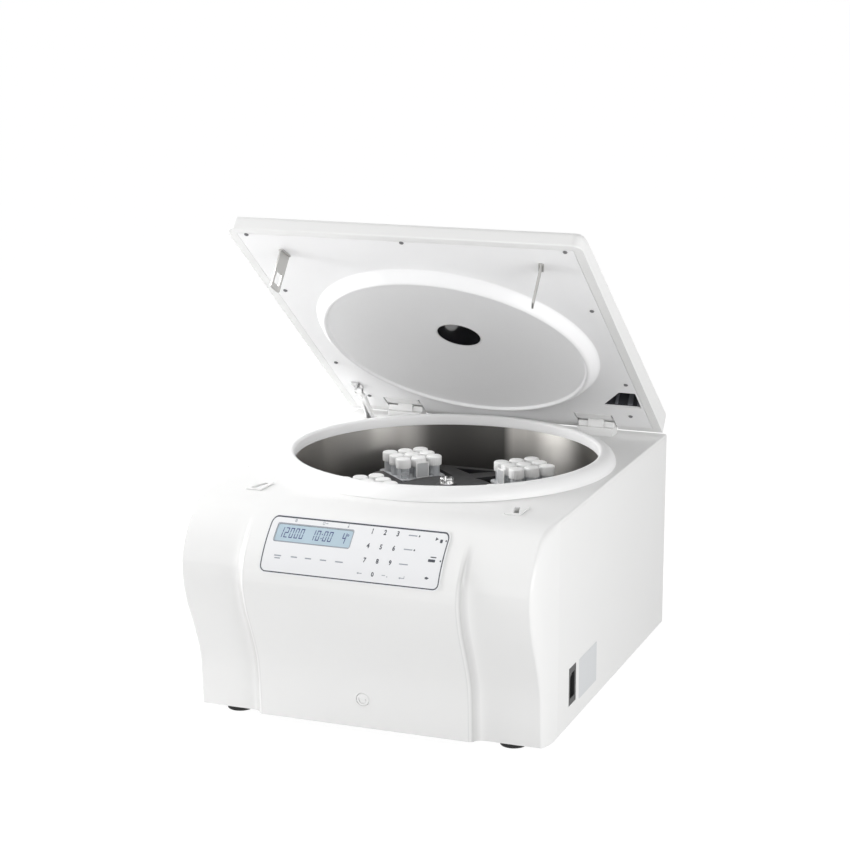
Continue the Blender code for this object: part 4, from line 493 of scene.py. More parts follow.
def arc(centre, radii, start, end, count):
    """Points of an ellipse's arc, angles in degrees."""
    angles = np.radians(np.linspace(start, end, count))
    return [(centre[0] + radii[0] * math.cos(a), centre[1] + radii[1] * math.sin(a)) for a in angles]


def rounded(low, high, radius, count=7):
    """A rectangle's outline with round corners, anticlockwise."""
    corners = (
        (high[0] - radius, high[1] - radius), (low[0] + radius, high[1] - radius),
        (low[0] + radius, low[1] + radius), (high[0] - radius, low[1] + radius),
    )
    return [p for k, c in enumerate(corners) for p in arc(c, (radius, radius), 90 * k, 90 * k + 90, count)]


# %% [markdown]
# ## The front's curve
# Seen from the side, the front of the case swells out under the deck and draws in again towards the
# bench, and its middle third stands a finger's breadth proud. A spline through a table of depths
# gives that line. A subdivided cage would too, but the keypad film has to lie exactly on the same
# curve, so the line is a function that any piece can ask for.

# %% Follow the front
CASE_DEPTH = 0.636
MIDDLE_PROUD = 0.012
BELLY_DEPTH = CASE_DEPTH - MIDDLE_PROUD
FRONT_SHARES = (
    (0.000, 0.917), (0.205, 0.923), (0.308, 0.934), (0.427, 0.958), (0.530, 0.981), (0.615, 0.994),
    (0.684, 1.000), (0.735, 1.000), (0.786, 0.995), (0.838, 0.984), (0.889, 0.968), (0.940, 0.945),
    (0.974, 0.921), (0.993, 0.888), (1.000, 0.852),
)
FADE_SHARES = (0.66, 0.97)


def through(points, steps):
    """A smooth line through points."""
    knots = [np.array(p, float) for p in points]
    knots = [knots[0], *knots, knots[-1]]
    line = []
    for a, b, c, d in zip(knots, knots[1:], knots[2:], knots[3:]):
        for t in np.arange(steps) / steps:
            line.append(b + (c - a) * t / 2 + (a - b * 2.5 + c * 2 - d / 2) * t**2
                        + (b * 1.5 - a / 2 - c * 1.5 + d / 2) * t**3)
    return np.array([*line, knots[-1]])


def ease(t):
    t = np.clip(t, 0, 1)
    return t * t * (3 - 2 * t)


line = through([(REAR_Y - d * BELLY_DEPTH, h * CASE_HEIGHT) for h, d in FRONT_SHARES], 6)
line[:, 0] = np.maximum(line[:, 0], REAR_Y - BELLY_DEPTH)
line[:, 1] = np.minimum(line[:, 1], CASE_HEIGHT)
fade_start, fade_end = FADE_SHARES
proud = MIDDLE_PROUD * (1 - ease((line[:, 1] / CASE_HEIGHT - fade_start) / (fade_end - fade_start)))
middle = np.stack([line[:, 0] - proud, BASE_Z + line[:, 1]], 1)
slope = np.gradient(middle, axis=0)
slope /= np.linalg.norm(slope, axis=1)[:, None]


def on_front(x, stand, z):
    """A point that stands off the middle of the front, at a height."""
    y = np.interp(z, middle[:, 1], middle[:, 0])
    along = np.interp(z, middle[:, 1], slope[:, 0]), np.interp(z, middle[:, 1], slope[:, 1])
    return x, y - stand * along[1], z + stand * along[0]


def wrapped(mesh, step=0.0022):
    """Lay a flat mesh, drawn in x and z with its stand-off as y, on the front."""
    build = bmesh.new()
    build.from_mesh(mesh)
    bpy.data.meshes.remove(mesh)
    heights = [v.co.z for v in build.verts]
    for z in np.arange(min(heights) + step, max(heights), step):
        bmesh.ops.bisect_plane(build, geom=[*build.verts, *build.edges, *build.faces], dist=1e-7,
                               plane_co=(0, 0, z), plane_no=(0, 0, 1))
    for v in build.verts:
        v.co = on_front(v.co.x, v.co.y, v.co.z)
    return mesh_of(build)


print("front curve:", len(line), "levels, belly at", round(float(middle[:, 0].min()), 4))

# %% [markdown]
# ## The case moulding
# One large white moulding makes the front, the deck and the corners down to the side sheets. It is
# lofted level by level from the bench to the deck, then hollowed and cut for the chamber, the
# latches, the strut and the display, as a mould's cores would. The raised middle has a tight outer
# edge and a wide, soft hollow beside it, which together with painted shade in the moulding's colour
# draws the two vertical lines of the front.

# %% Loft and cut the case
MIDDLE_HALF = 0.1475
STEP_WIDTH = 0.0245
STEP_SHARES = (
    (0, 0), (0.02, 0.008), (0.05, 0.035), (0.12, 0.12), (0.20, 0.233), (0.225, 0.30), (0.25, 0.42),
    (0.28, 0.55), (0.32, 0.67), (0.39, 0.77), (0.49, 0.87), (0.65, 0.95), (0.82, 0.99), (1, 1),
)
CORNER_WIDTH, CORNER_RUN = 0.010, 0.035
EDGE_RADIUS = 0.003
WALL = 0.003
HOOK_X, HOOK_Y = 0.183, -0.1849
DECK_HOLE = 0.2234


def case_level(y, z, stand, wall, rear):
    """One level of the case: straight sides, oval corners and the raised middle."""
    half = HALF - wall
    drop = EDGE_RADIUS - (DECK_Z - wall - z)
    inset = 0.0 if drop <= 0 or wall else EDGE_RADIUS - math.sqrt(max(EDGE_RADIUS**2 - drop**2, 0))
    run = min(CORNER_RUN, max(JOIN_Y - y, CORNER_WIDTH / 8))
    right = [(MIDDLE_HALF / 3, y - stand), (MIDDLE_HALF * 2 / 3, y - stand)]
    right += [(MIDDLE_HALF + STEP_WIDTH * u, y - stand * (1 - v)) for u, v in STEP_SHARES]
    right += [((MIDDLE_HALF + STEP_WIDTH + half) / 2, y)]
    right += arc((half - CORNER_WIDTH, y + run), (CORNER_WIDTH - inset, run), -90, 0, 15)
    right += [(half - inset, rear - EDGE_RADIUS), (half - inset, rear)]
    return [(x, level, z) for x, level in [(-x, level) for x, level in reversed(right)] + right]


def case_body(wall=0.0):
    levels = list(zip(line[:, 0], BASE_Z + line[:, 1], proud))
    if wall:
        levels = [(y + wall * s[1], z - wall * s[0], p) for (y, z, p), s in zip(levels[::3], slope[::3])]
        kept = [level for level in levels if level[1] < DECK_Z - wall - GAP]
        levels = [(levels[0][0], BASE_Z - 0.02, levels[0][2]), *kept,
                  (levels[-1][0] + 0.01, DECK_Z - wall, 0.0)]
    rear = REAR_Y + 0.02 if wall else REAR_Y
    return loft([case_level(y, z, p, wall, rear) for y, z, p in levels])


def upright(x, y, half_x, half_y):
    """A cutter that stands through the deck."""
    return block((x - half_x, y - half_y, DECK_Z - 0.012), (x + half_x, y + half_y, DECK_Z + 0.01))


case = carved(
    case_body(),
    case_body(WALL),
    block((-0.27, JOIN_Y, -0.01), (0.27, 0.34, DECK_Z - 0.004)),
    shifted(turn([(DECK_HOLE, 0.02), (DECK_HOLE, -0.02), (0, -0.02), (0, 0.02)], BOWL, 144), z=DECK_Z),
    upright(-HOOK_X, HOOK_Y, 0.010, 0.0187),
    upright(HOOK_X, HOOK_Y, 0.010, 0.0187),
    upright(STRUT_X, 0.248, 0.0085, 0.028),
    pin((0, -0.33, PLUG_Z), (0, -0.15, PLUG_Z), 0.0093, 48),
    flat([rounded((-0.1133, 0.2612), (-0.0060, 0.2803), 0.003)], -0.33, -0.15, "Y"),
)
show("case_moulding", case, WHITE, "case", ["upper_cover"], bevel=0.0006)
print("case moulding:", len(case.polygons), "faces")

# %% [markdown]
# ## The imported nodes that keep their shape
# Side sheets, hinges, latch housings and everything inside are already the right shape. Building
# them again would add nothing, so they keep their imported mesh: a Weld modifier closes the edges that
# export split, and a small Bevel gives each the rounded edge that catches light.

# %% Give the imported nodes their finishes
def dress(material, *nodes, bevel=0.0003, degrees=32):
    for name in nodes:
        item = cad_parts[name]
        item.modifiers.new("closed", "WELD").merge_threshold = 1e-6
        skin(item, material, degrees)
        if bevel:
            round_edges(item, bevel, 2)


dress(PAINT, "left_side_sheet", "right_side_sheet", "rear_sheet")
dress(PAINT, "hinge_bracket_left", "hinge_bracket_right", "hinge_leaf_left", "hinge_leaf_right", bevel=0.0006)
dress(WHITE, "latch_housing_left", "latch_housing_right", bevel=0.0004)
dress(ZINC, "base_plate", "board_bracket")
dress(ZINC, "guard_ring", bevel=0)
dress(COPPER, "evaporator_coil", "refrigerant_line", bevel=0, degrees=62)
dress(FOAM, "bowl_insulation", bevel=0)
dress(CASTING, "motor_housing", bevel=0)
dress(BRIGHT, "drive_shaft", "latch_bolt_left", "latch_bolt_right", "strut_lug", bevel=0.0002)
dress(RUBBER, "motor_damper_1", "motor_damper_2", "motor_damper_3", bevel=0)
dress(BLACK, "compressor", "fan_frame", "fan_blades", "power_unit", "mains_inlet", bevel=0)
dress(BLACK, "switch_bezel", bevel=0.0006)
dress(GLOSSY, "power_rocker", bevel=0.0006)
dress(FINS, "condenser", bevel=0)
dress(BOARD, "control_board", bevel=0)

# %% [markdown]
# ## Low walls under the hinge cheeks
# Each hinge block carries a web between the lid's two cheeks, and light would shine through beside
# it. The blocks could be modelled again, but two short walls beside each web close the gaps and stay
# half a millimetre clear of the cheeks as they turn.

# %% Close the gaps
WEB_HALF, WALL_HALF, BLOCK_TOP, CHEEK_REACH = 0.0123, 0.006, 0.0128, 0.0083
for side, word in ((-1, "left"), (1, "right")):
    walls = [block((side * HINGE_X + a, HINGE.y - WALL_HALF, DECK_Z + BLOCK_TOP),
                   (side * HINGE_X + b, HINGE.y + WALL_HALF, HINGE.z - CHEEK_REACH))
             for a, b in ((-HINGE_HALF, -WEB_HALF), (WEB_HALF, HINGE_HALF))]
    show(f"hinge_wall_{word}", merged(*walls), PAINT, "case", bevel=0.0006)
print("hinge walls:", round((HINGE.z - CHEEK_REACH - DECK_Z - BLOCK_TOP) * 1000, 1), "mm high")

# %% [markdown]
# ## Feet
# Four black rubber pads carry the machine and show as dark lips under its front edge. Each is a
# turned puck with a soft lower rim, a shape that one turned profile gives outright.

# %% Turn the feet
FOOT_X = 0.1965
FOOT_YS = {"front": -0.229, "rear": 0.270}
puck = [(0, 0.0087), (0.015, 0.0087), *arc((0.0165, 0.0072), (0.0015, 0.0015), 90, 0, 4),
        (0.0172, 0.0045), *arc((0.0160, 0.0020), (0.0020, 0.0020), 0, -90, 5), (0.010, 0), (0, 0)]
for end, y in FOOT_YS.items():
    for side, word in ((-1, "left"), (1, "right")):
        pad = turn(puck, (side * FOOT_X, y), 48)
        show(f"foot_pad_{end}_{word}", pad, RUBBER, "case", [f"foot_{end}_{word}"])
print("feet:", 2 * len(FOOT_YS))

# %% [markdown]
# ## The chamber and its seal
# The bowl is deep-drawn stainless steel, and a fat white seal wraps its rim. The seal rises in a
# quarter oval from the deck and rolls over to a thin lip inside, so its profile is one closed line of
# arcs. Both are turned about the drive's axis.

# %% Turn the seal and the bowl
RIM, LIP = 0.216, 0.0024
SEAL_REACH, SEAL_HEIGHT, BOWL_DEPTH = 0.2396, 0.0181, 0.1615
rim_top = DECK_Z + SEAL_HEIGHT
seal_seat = DECK_Z + GAP
crown = RIM + LIP * 2
bowl_top = rim_top - LIP * 3.5
bowl_outer = RIM + LIP + 0.0015
seal = arc((crown, seal_seat), (SEAL_REACH - crown, rim_top - seal_seat), 90, 0, 20)
seal += [(bowl_outer + GAP, seal_seat), (bowl_outer + GAP, bowl_top + GAP),
         (RIM + LIP - GAP, bowl_top + GAP), (RIM + LIP - GAP, seal_seat + 0.002)]
seal += arc((RIM + 0.001, seal_seat + 0.003), (0.001, 0.001), -90, -180, 4)
seal += arc((crown, rim_top - LIP * 1.6), (crown - RIM, LIP * 1.6), 180, 90, 9)[:-1]
show("chamber_seal", turn(seal, BOWL, 160), SEAL, "case", ["rim_gasket"], degrees=40)

floor = DECK_Z - BOWL_DEPTH
under = floor - 0.0015
bowl = [(bowl_outer, bowl_top), *arc((bowl_outer - 0.022, under + 0.022), (0.022, 0.022), 0, -90, 9),
        (0.034, under), (0.032, under + 0.001), (0.030, under + 0.002), (0.030, floor + 0.002),
        (0.033, floor + 0.001), (0.036, floor),
        *arc((RIM + LIP - 0.0205, floor + 0.0205), (0.0205, 0.0205), -90, 0, 9),
        (RIM + LIP, bowl_top - 0.0006), (RIM + LIP + 0.0006, bowl_top)]
show("chamber_wall", turn(bowl, BOWL, 160), STEEL, "case",
     ["chamber_bowl", "bowl_floor"], degrees=40)
print("chamber:", round(2 * (RIM + LIP), 4), "m across,", BOWL_DEPTH, "m under the deck")

# %% [markdown]
# ## The rotor
# A black cross carries four buckets on short pins, with a bright fluted nut on its hub. Its arms are
# wedges whose sides run along the buckets, each lightened by a triangular window. The arms could be
# modelled vertex by vertex, but cutting them from outlines keeps the bucket lines exact.

# %% Build the cross, its pins and the nut
PIVOT_R, PIVOT_Z = 0.123, DECK_Z - 0.0565
arm_low, arm_high = PIVOT_Z - 0.014, PIVOT_Z + 0.014
hub_top = arm_high + 0.003
BUCKET_ROOM, ARM_REACH = 0.0408, PIVOT_R + 0.013
offset = math.sqrt(2) * BUCKET_ROOM
shoulder = (math.sqrt(2) * ARM_REACH + offset) / 2


def turned_by(points, angle):
    c, s = math.cos(angle), math.sin(angle)
    return [(x * c - y * s, BOWL_Y + x * s + y * c) for x, y in points]


arms, windows, pins = [], [], []
for k in range(4):
    edge = [(0.060, 0.00475), (shoulder, shoulder - offset), (0.134, shoulder * 2 - offset - 0.134)]
    wedge = edge + [(x, -y) for x, y in reversed(edge)]
    arms.append(flat([turned_by(wedge, k * math.pi / 2)], arm_low, arm_high))
    hole = [(0.0965, 0), (0.1225, 0.0325), (0.1225, -0.0325)]
    windows.append(flat([turned_by(hole, k * math.pi / 2)], arm_low - 0.01, arm_high + 0.01))
    spoke = math.pi / 4 + k * math.pi / 2
    for hand in (-1, 1):
        ends = [Vector((PIVOT_R * math.cos(spoke) - hand * t * math.sin(spoke),
                        BOWL_Y + PIVOT_R * math.sin(spoke) + hand * t * math.cos(spoke), PIVOT_Z))
                for t in (0.0369, 0.046)]
        pins.append(pin(*ends, 0.005, 24))
hub = turn([(0.0635, hub_top), *arc((0.0635, hub_top - 0.003), (0.0045, 0.003), 90, 0, 6),
            (0.068, arm_low - 0.003), (0.0103, arm_low - 0.003), (0.0103, hub_top)], BOWL, 96)
cross = joined(carved(joined(hub, *arms), *windows), *pins)
show("rotor_cross_coated", cross, COATED, "rotor", ["rotor_cross"], bevel=0.0009)


def flutes(angle, r, z):
    return 0.00035 * math.cos(angle * 16) if r > 0.0085 and z > hub_top + 0.0045 else 0


def risen(profile):
    """A profile drawn from the nut's seat on the hub."""
    return [(r, hub_top + GAP + up) for r, up in profile]


nut = turn(risen([(0.0062, 0.0142), (0.0078, 0.0142), (0.0090, 0.0132), (0.0094, 0.0120), (0.0094, 0.0048),
                  (0.0102, 0.0036), (0.0128, 0.0028), (0.0135, 0.0022), (0.0135, 0.0004), (0.0131, 0),
                  (0.0062, 0)]), BOWL, 128, flutes)
slot_low, slot_high = hub_top + GAP + 0.0096, hub_top + GAP + 0.03
slots = [block((-a, BOWL_Y - b, slot_low), (a, BOWL_Y + b, slot_high))
         for a, b in ((0.012, 0.0016), (0.0016, 0.012))]
show("spindle_nut", carved(nut, *slots), BRIGHT, "rotor", ["rotor_nut"], degrees=50)
collar = turn(risen([(0.0105, 0.0054), (0.0138, 0.0050), (0.0152, 0.0040), (0.0156, 0.0026), (0.0156, 0),
                     (0.0139, 0), (0.0139, 0.0032), (0.0105, 0.0040)]), BOWL, 64)
show("nut_collar", collar, COATED, "rotor", degrees=50)
print("rotor:", len(arms), "arms and", len(pins), "pins")

# %% [markdown]
# ## Buckets, racks and capped tubes
# Each square bucket hangs on two pins and holds a rack of nine tubes. One bucket, one rack, one set
# of tubes and one set of caps are built about the swing axis and copied to the four places, as a
# maker would mould them. The caps have fine ribs for grip, which a wave in the turned radius gives.

# %% Build one bucket with its rack
PITCH = 0.0245
TUBE_PLACES = [(i * PITCH, j * PITCH) for i in (-1, 0, 1) for j in (-1, 0, 1)]


def square(half, z, corner):
    return [(x, y, z) for x, y in rounded((-half, -half), (half, half), corner, 6)]


def bucket_shape():
    outer = [(0.0300, -0.085), (0.0312, -0.0842), (0.0375, -0.059), (0.0375, -0.012), (0.0393, -0.0094),
             (0.0395, -0.0088), (0.0395, 0.0074), (0.0389, 0.008)]
    inner = [(0.0283, -0.083), (0.0355, -0.059), (0.0355, -0.012), (0.0365, -0.009), (0.0365, 0.018)]
    body = loft([square(h, z, 0.009) for h, z in outer])
    core = loft([square(h, z, 0.007) for h, z in inner])
    return carved(body, core, pin((-0.05, 0, 0), (0.05, 0, 0), 0.0053, 24))


def rack_shape():
    levels = (0.0381, 0.0083), (0.0385, 0.0087), (0.0385, 0.0101), (0.0381, 0.0105)
    plate = loft([square(h, z, 0.009) for h, z in levels])
    return carved(plate, *[pin((x, y, 0), (x, y, 0.02), 0.0090, 32) for x, y in TUBE_PLACES])


def tube_shape(place_at):
    profile = [(0, 0.0258), (0.0080, 0.0258), (0.0085, 0.0252), (0.0085, -0.058), (0.0034, -0.0785),
               (0.0024, -0.0800), (0, -0.0803)]
    return turn(profile, place_at, 24)


def ribs(angle, r, z):
    return 0.00022 * math.cos(angle * 24) if r > 0.0106 and z < 0.0375 else 0


def cap_shape(place_at):
    profile = [(0, 0.0394), (0.0070, 0.0395), (0.0095, 0.0393), (0.0106, 0.0386), (0.0109, 0.0374),
               (0.0109, 0.0262), (0.0107, 0.0258), (0.0087, 0.0260), (0.0087, 0.0282), (0, 0.0282)]
    return turn(profile, place_at, 96, ribs)


tab = flat([rounded((-0.010, 0.0108), (0.010, 0.0345), 0.0015, 4)], -0.0382, -0.0367, "Y")
label = flat([rounded((-0.0085, 0.0125), (0.0085, 0.0328), 0.0008, 3)], -0.03845, -0.0382, "Y")
tubes = merged(*[tube_shape(spot) for spot in TUBE_PLACES])
caps = merged(*[cap_shape(spot) for spot in TUBE_PLACES])
print("one rack:", len(TUBE_PLACES), "tubes,", len(tubes.polygons) + len(caps.polygons), "faces")

# %% [markdown]
# ## Four of each
# The rotor's four pairs of pins stand at a quarter turn from each other. Each shape is copied to all
# four and rides on its own swinging body. Linked copies would share a mesh, but then the four places
# would have to live in the objects, while every other mesh here is written in the machine's frame.

# %% Copy the shapes to the four places
shapes = (
    ("swing_bucket", bucket_shape(), COATED, "black_rotor", "bucket", 0.0005),
    ("tube_rack_plate", rack_shape(), RACK, "tube_rack", "tube_rack", 0.0002),
    ("rack_tab", tab, CAPS, "tube_rack", None, 0.0003),
    ("rack_label", label, LABEL, "tube_rack", None, 0),
    ("sample_tubes", tubes, TUBES, "tube_rack", None, 0),
    ("tube_caps", caps, CAPS, "tube_rack", None, 0),
)
for k in range(4):
    angle = math.pi / 4 + k * math.pi / 2
    seat = Matrix.Translation((PIVOT_R * math.cos(angle), BOWL_Y + PIVOT_R * math.sin(angle), PIVOT_Z))
    seat = seat @ Matrix.Rotation(angle - math.pi / 2, 4, "Z")
    for name, shape, material, slot, node, bevel in shapes:
        stands_for = [f"{node}_{k + 1}"] if node else ()
        show(f"{name}_{k + 1}", moved(shape.copy(), seat), material, f"bucket_swing_{k + 1}",
             stands_for, bevel)
print("swinging pieces:", 4 * len(shapes))

# %% [markdown]
# ## The lid
# The lid is a white wedge, thick at the hinge and rounded at its nose, with a grey-white liner let
# into its underside. Everything on it is drawn in the closed position, measured forward from the
# rear edge and up from the underside, and then swung up to its stop by one matrix. Drawing it tilted
# would work, but then no number would match a drawing of the real part.

# %% Draw in the lid's own frame
SWING = Matrix.Translation(HINGE) @ Matrix.Rotation(-LID_ANGLE, 4, "X")


def lid_point(x, s, n):
    return x, HINGE_S - s, n - HINGE_N


def on_lid(mesh):
    return moved(mesh, SWING)


def lid_box(x, s, n):
    return block((x[0], HINGE_S - s[1], n[0] - HINGE_N), (x[1], HINGE_S - s[0], n[1] - HINGE_N))


LID_EDGE, LID_CORNER = 0.008, 0.014
POCKET_HALF = 0.0297


def lid_side(fall, inset=0.0, short=0.0):
    """The lid's side view: rear face, top, oval nose and a flat underside."""
    rear, nose, front = 0.036 - fall, 0.0265 - fall, 0.0135 - fall / 2
    start = LID_LENGTH - 0.026 - short
    points = [(inset, 0.0008), (inset, rear - 0.004)]
    points += arc((inset + 0.004, rear - 0.004), (0.004, 0.004), 180, 100, 5)
    points += arc((start - inset, front), (0.026, nose - front), 90, 0, 16)
    points += arc((LID_LENGTH - short - inset - 0.002, 0.002), (0.002, 0.002), 0, -90, 5)
    return [*points, (inset + 0.0008, 0)]


def lid_loft():
    """Sweep the side view across the lid, lower and shorter towards its rounded ends."""
    loops = []
    drops = [LID_CORNER * (1 - math.cos(a)) for a in np.linspace(0, math.pi / 2, 13)]
    stations = [-HALF + drop for drop in drops] + [-0.12, 0.0, 0.12]
    stations += [HALF - drop for drop in reversed(drops)]
    for x in stations:
        drop = HALF - abs(x)
        fall, short = [radius - math.sqrt(radius ** 2 - max(radius - drop, 0) ** 2)
                       for radius in (LID_EDGE, LID_CORNER)]
        loops.append([lid_point(x, s, n) for s, n in lid_side(fall, short=short)])
    return loft(loops)


def hatch_shape(grow, low, high):
    """The access opening's four corners, moved out by an amount."""
    rear, front = HINGE_S - 0.079 + grow, HINGE_S - 0.1275 - grow
    corners = [(0.1745 - grow * 2, rear), (0.2337 + grow, rear), (0.234 + grow, front), (0.210 - grow, front)]
    return flat([corners], low - HINGE_N, high - HINGE_N)


def notches():
    """Two pockets for the hinges. They are made anew for each cut, because a cut uses its tools up."""
    return [lid_box((x - POCKET_HALF, x + POCKET_HALF), (-0.01, 0.047), (-0.01, 0.028))
            for x in (-HINGE_X, HINGE_X)]


hollow_line = [(s, max(n, 0.006)) for s, n in lid_side(0.003, 0.003)[1:-5]]
hollow = loft([[lid_point(x, s, n) for s, n in hollow_line] for x in (-0.242, 0.242)])
mouth = lid_box((-0.2375, 0.2375), (0.0125, LID_LENGTH - 0.0125), (-0.01, 0.009))
window_hole = pin(lid_point(0, RING_S, -0.02), lid_point(0, RING_S, 0.06), 0.0318, 96)
lid = carved(lid_loft(), hollow, mouth, window_hole, *notches(), hatch_shape(0.0025, -0.01, 0.0265))
show("lid_cover", on_lid(lid), WHITE, "lid", ["lid_shell"], bevel=0.0006)
print("lid cover:", len(lid.polygons), "faces")

# %% [markdown]
# ## The liner's dish
# The liner is a vacuum-formed sheet: flat towards its edges, with a ring that stands proud and a
# shallow dish inside it that rises to a round dark window. The ring presses on the chamber's seal.
# A displaced grid could make that, but turning the dish and joining it to the flat sheet keeps the
# circles true.

# %% Form the liner and the window
sheet_plate = lid_box((-0.237, 0.237), (0.013, LID_LENGTH - 0.013), (0.0, 0.003))
ring_hole = pin(lid_point(0, RING_S, -0.02), lid_point(0, RING_S, 0.03), 0.2047, 160)
below = [(0.2080, 0.00024), (0.2068, 0.0001), (0.2056, -0.0004), (0.2044, -0.0013), (0.2032, -0.0026),
         (0.2016, -0.0048), (0.1998, -0.0075), (0.1980, -0.0101), (0.1962, -0.0125), (0.1945, -0.0143),
         (0.1929, -0.0154), (0.1914, -0.0159), (0.1902, -0.0159), (0.1892, -0.0155), (0.1884, -0.0147),
         (0.1877, -0.0136), (0.1869, -0.0124)]
share = np.linspace(0, 1, 20)
below += [(0.1858 + (0.0345 - 0.1858) * t, -0.0114 + 0.0204 * (1 - (1 - t) ** 2)) for t in share]
below += [(0.0328, 0.0092), (0.0318, 0.0102)]
above = [(r, n + 0.0025) for r, n in below[5:-2]]
dish = [(0.2080, 0.0027), *below, (0.0318, 0.021), (0.0342, 0.021), (0.0345, 0.0130),
        *reversed(above[:-1]), (0.2035, 0.0027)]
dish = turn([(r, n - HINGE_N) for r, n in dish], (0, HINGE_S - RING_S), 160)
liner = carved(joined(carved(sheet_plate, ring_hole), dish), *notches(), hatch_shape(0, -0.02, 0.04))
show("lid_lining_sheet", on_lid(liner), LINING, "lid", ["lid_liner"], bevel=0.0004, degrees=36)
print("liner:", len(liner.polygons), "faces")

# %% [markdown]
# ## The hatch and the sight window
# A dark well with ribs shows through the liner's access opening, and smoked glass closes the dish.
# Its walls and ribs are coloured near black and dark grey as painted shade for the inside of the lid.
# A black plate would fill the opening too, but it would look flat from every side.

# %% Sink the hatch and set the glass
# The well's near-black colour is painted shade inside the opening.
well = carved(hatch_shape(0.0022, 0.0032, 0.0262), hatch_shape(0.0008, -0.001, 0.0248))
show("hatch_well", on_lid(well), WELL_SHADE_PAINT, "lid", degrees=30)
RIBS = (0.1935, 0.004), (0.2125, 0.0075), (0.2268, 0.0035)
RIB_PARTS = ((0.0795, 0.125), (0.0205, 0.0246)), ((0.0785, 0.0822), (0.0040, 0.0240))
well_ribs = [lid_box((x, x + width), along, up) for along, up in RIB_PARTS for x, width in RIBS]
show("hatch_ribs", on_lid(merged(*well_ribs)), RIB_SHADE_PAINT, "lid", bevel=0.0004)

pane_top = 0.036 - 0.0095 * RING_S / 0.523
pane = [(0, pane_top - 0.0012), (0.0307, pane_top - 0.0012), (0.0315, pane_top - 0.002), (0.0315, 0.0100),
        (0.0309, 0.0093), (0, 0.0093)]
window = turn([(r, n - HINGE_N) for r, n in pane], (0, HINGE_S - RING_S), 96)
show("sight_window_glass", on_lid(window), GLASS, "lid", ["sight_window"])
print("hatch ribs:", len(well_ribs))

# %% [markdown]
# ## Screws that hold the liner
# Nine small screws hold the liner in the lid. A cross recess is cut into every head, since a plain
# disc reads as a dot of paint.

# %% Turn the screws
def screw(x, s):
    """A pan head that hangs below the liner, with a cross recess."""
    radius = 0.0031
    profile = [(0, 0.0003), (radius, 0.0003), (radius, -0.0004), (radius * 0.8, -0.0011),
               (radius * 0.4, -0.0014), (0, -0.0014)]
    head = turn([(r, z - HINGE_N - 0.0004) for r, z in profile], (x, HINGE_S - s), 24)
    cuts = [lid_box((x - a, x + a), (s - b, s + b), (-0.003, -0.0010)) for a, b in
            ((radius * 0.6, 0.0003), (0.0003, radius * 0.6))]
    return carved(head, *cuts)


SCREW_PLACES = [(-0.2235, 0.5345), (0.2255, 0.5325), (0.001, 0.534), (-0.2232, 0.3795), (0.2256, 0.375),
                (-0.2222, 0.158), (0.2262, 0.155), (-0.2035, 0.05), (0.2113, 0.05)]
screws = merged(*[screw(x, s) for x, s in SCREW_PLACES])
show("liner_screws", on_lid(screws), SCREW, "lid")
print("liner screws:", len(SCREW_PLACES))

# %% [markdown]
# ## The striker hooks
# Two flat steel hooks hang under the lid's nose and meet the latches in the deck. Each is a strip
# with a window for the bolt, turned as the throat below it is. A plain bar would latch as well to the
# eye, but the window shows in the photo.

# %% Cut the striker hooks
HOOK_S, HOOK_TURN, HOOK_DROP = 0.490, math.radians(15), 0.058


def hook(side):
    """A strip with a slot for the bolt, a rounded end and a foot under the liner."""
    top = -HINGE_N - GAP
    low = top - HOOK_DROP
    strip = [*arc((0.007, low + 0.003), (0.003, 0.003), 0, -90, 5),
             *arc((-0.007, low + 0.003), (0.003, 0.003), 270, 180, 5), (-0.010, top), (0.010, top)]
    slot = rounded((-0.00575, top - 0.050), (0.00575, top - 0.032), 0.001, 4)
    plate = carved(flat([strip], -0.00125, 0.00125, "X"), flat([slot], -0.01, 0.01, "X"))
    foot = block((-0.0035, -0.0095, top - 0.0022), (0.0035, 0.0095, top))
    seat = Matrix.Translation((side * HOOK_X, HINGE_S - HOOK_S, 0))
    return moved(joined(plate, foot), seat @ Matrix.Rotation(side * HOOK_TURN, 4, "Z"))


for side, word in ((-1, "left"), (1, "right")):
    show(f"catch_hook_{word}", on_lid(hook(side)), SATIN, "lid", [f"striker_hook_{word}"],
         bevel=0.0003)
print("hooks:", HOOK_DROP, "m long at", HOOK_S, "m from the hinge edge")

# %% [markdown]
# ## The gas strut
# A short gas strut holds the lid up at the left. Its bright barrel hangs from a lug on the lid, and
# its rod goes down through a slot in the deck to a pin on the rear sheet. Barrel and rod ride on
# bodies of their own, so that the strut leans and shortens as the lid shuts.

# %% Turn the strut
head, foot = Vector((STRUT_X, 0.22042, 0.35241)), Vector((STRUT_X, 0.3015, 0.2560))
reach = (head - foot).length


def eye(z, hole):
    ring = flat([[(y, z + up) for y, up in arc((0, 0), (0.005, 0.005), 0, 350, 36)]], -0.004, 0.004, "X")
    return ring, pin((-0.01, 0, z), (0.01, 0, z), hole, 32)


def strut_frame(mesh):
    aim = math.atan2(head.z - foot.z, head.y - foot.y)
    return moved(mesh, Matrix.Translation(foot) @ Matrix.Rotation(aim - math.pi / 2, 4, "X"))


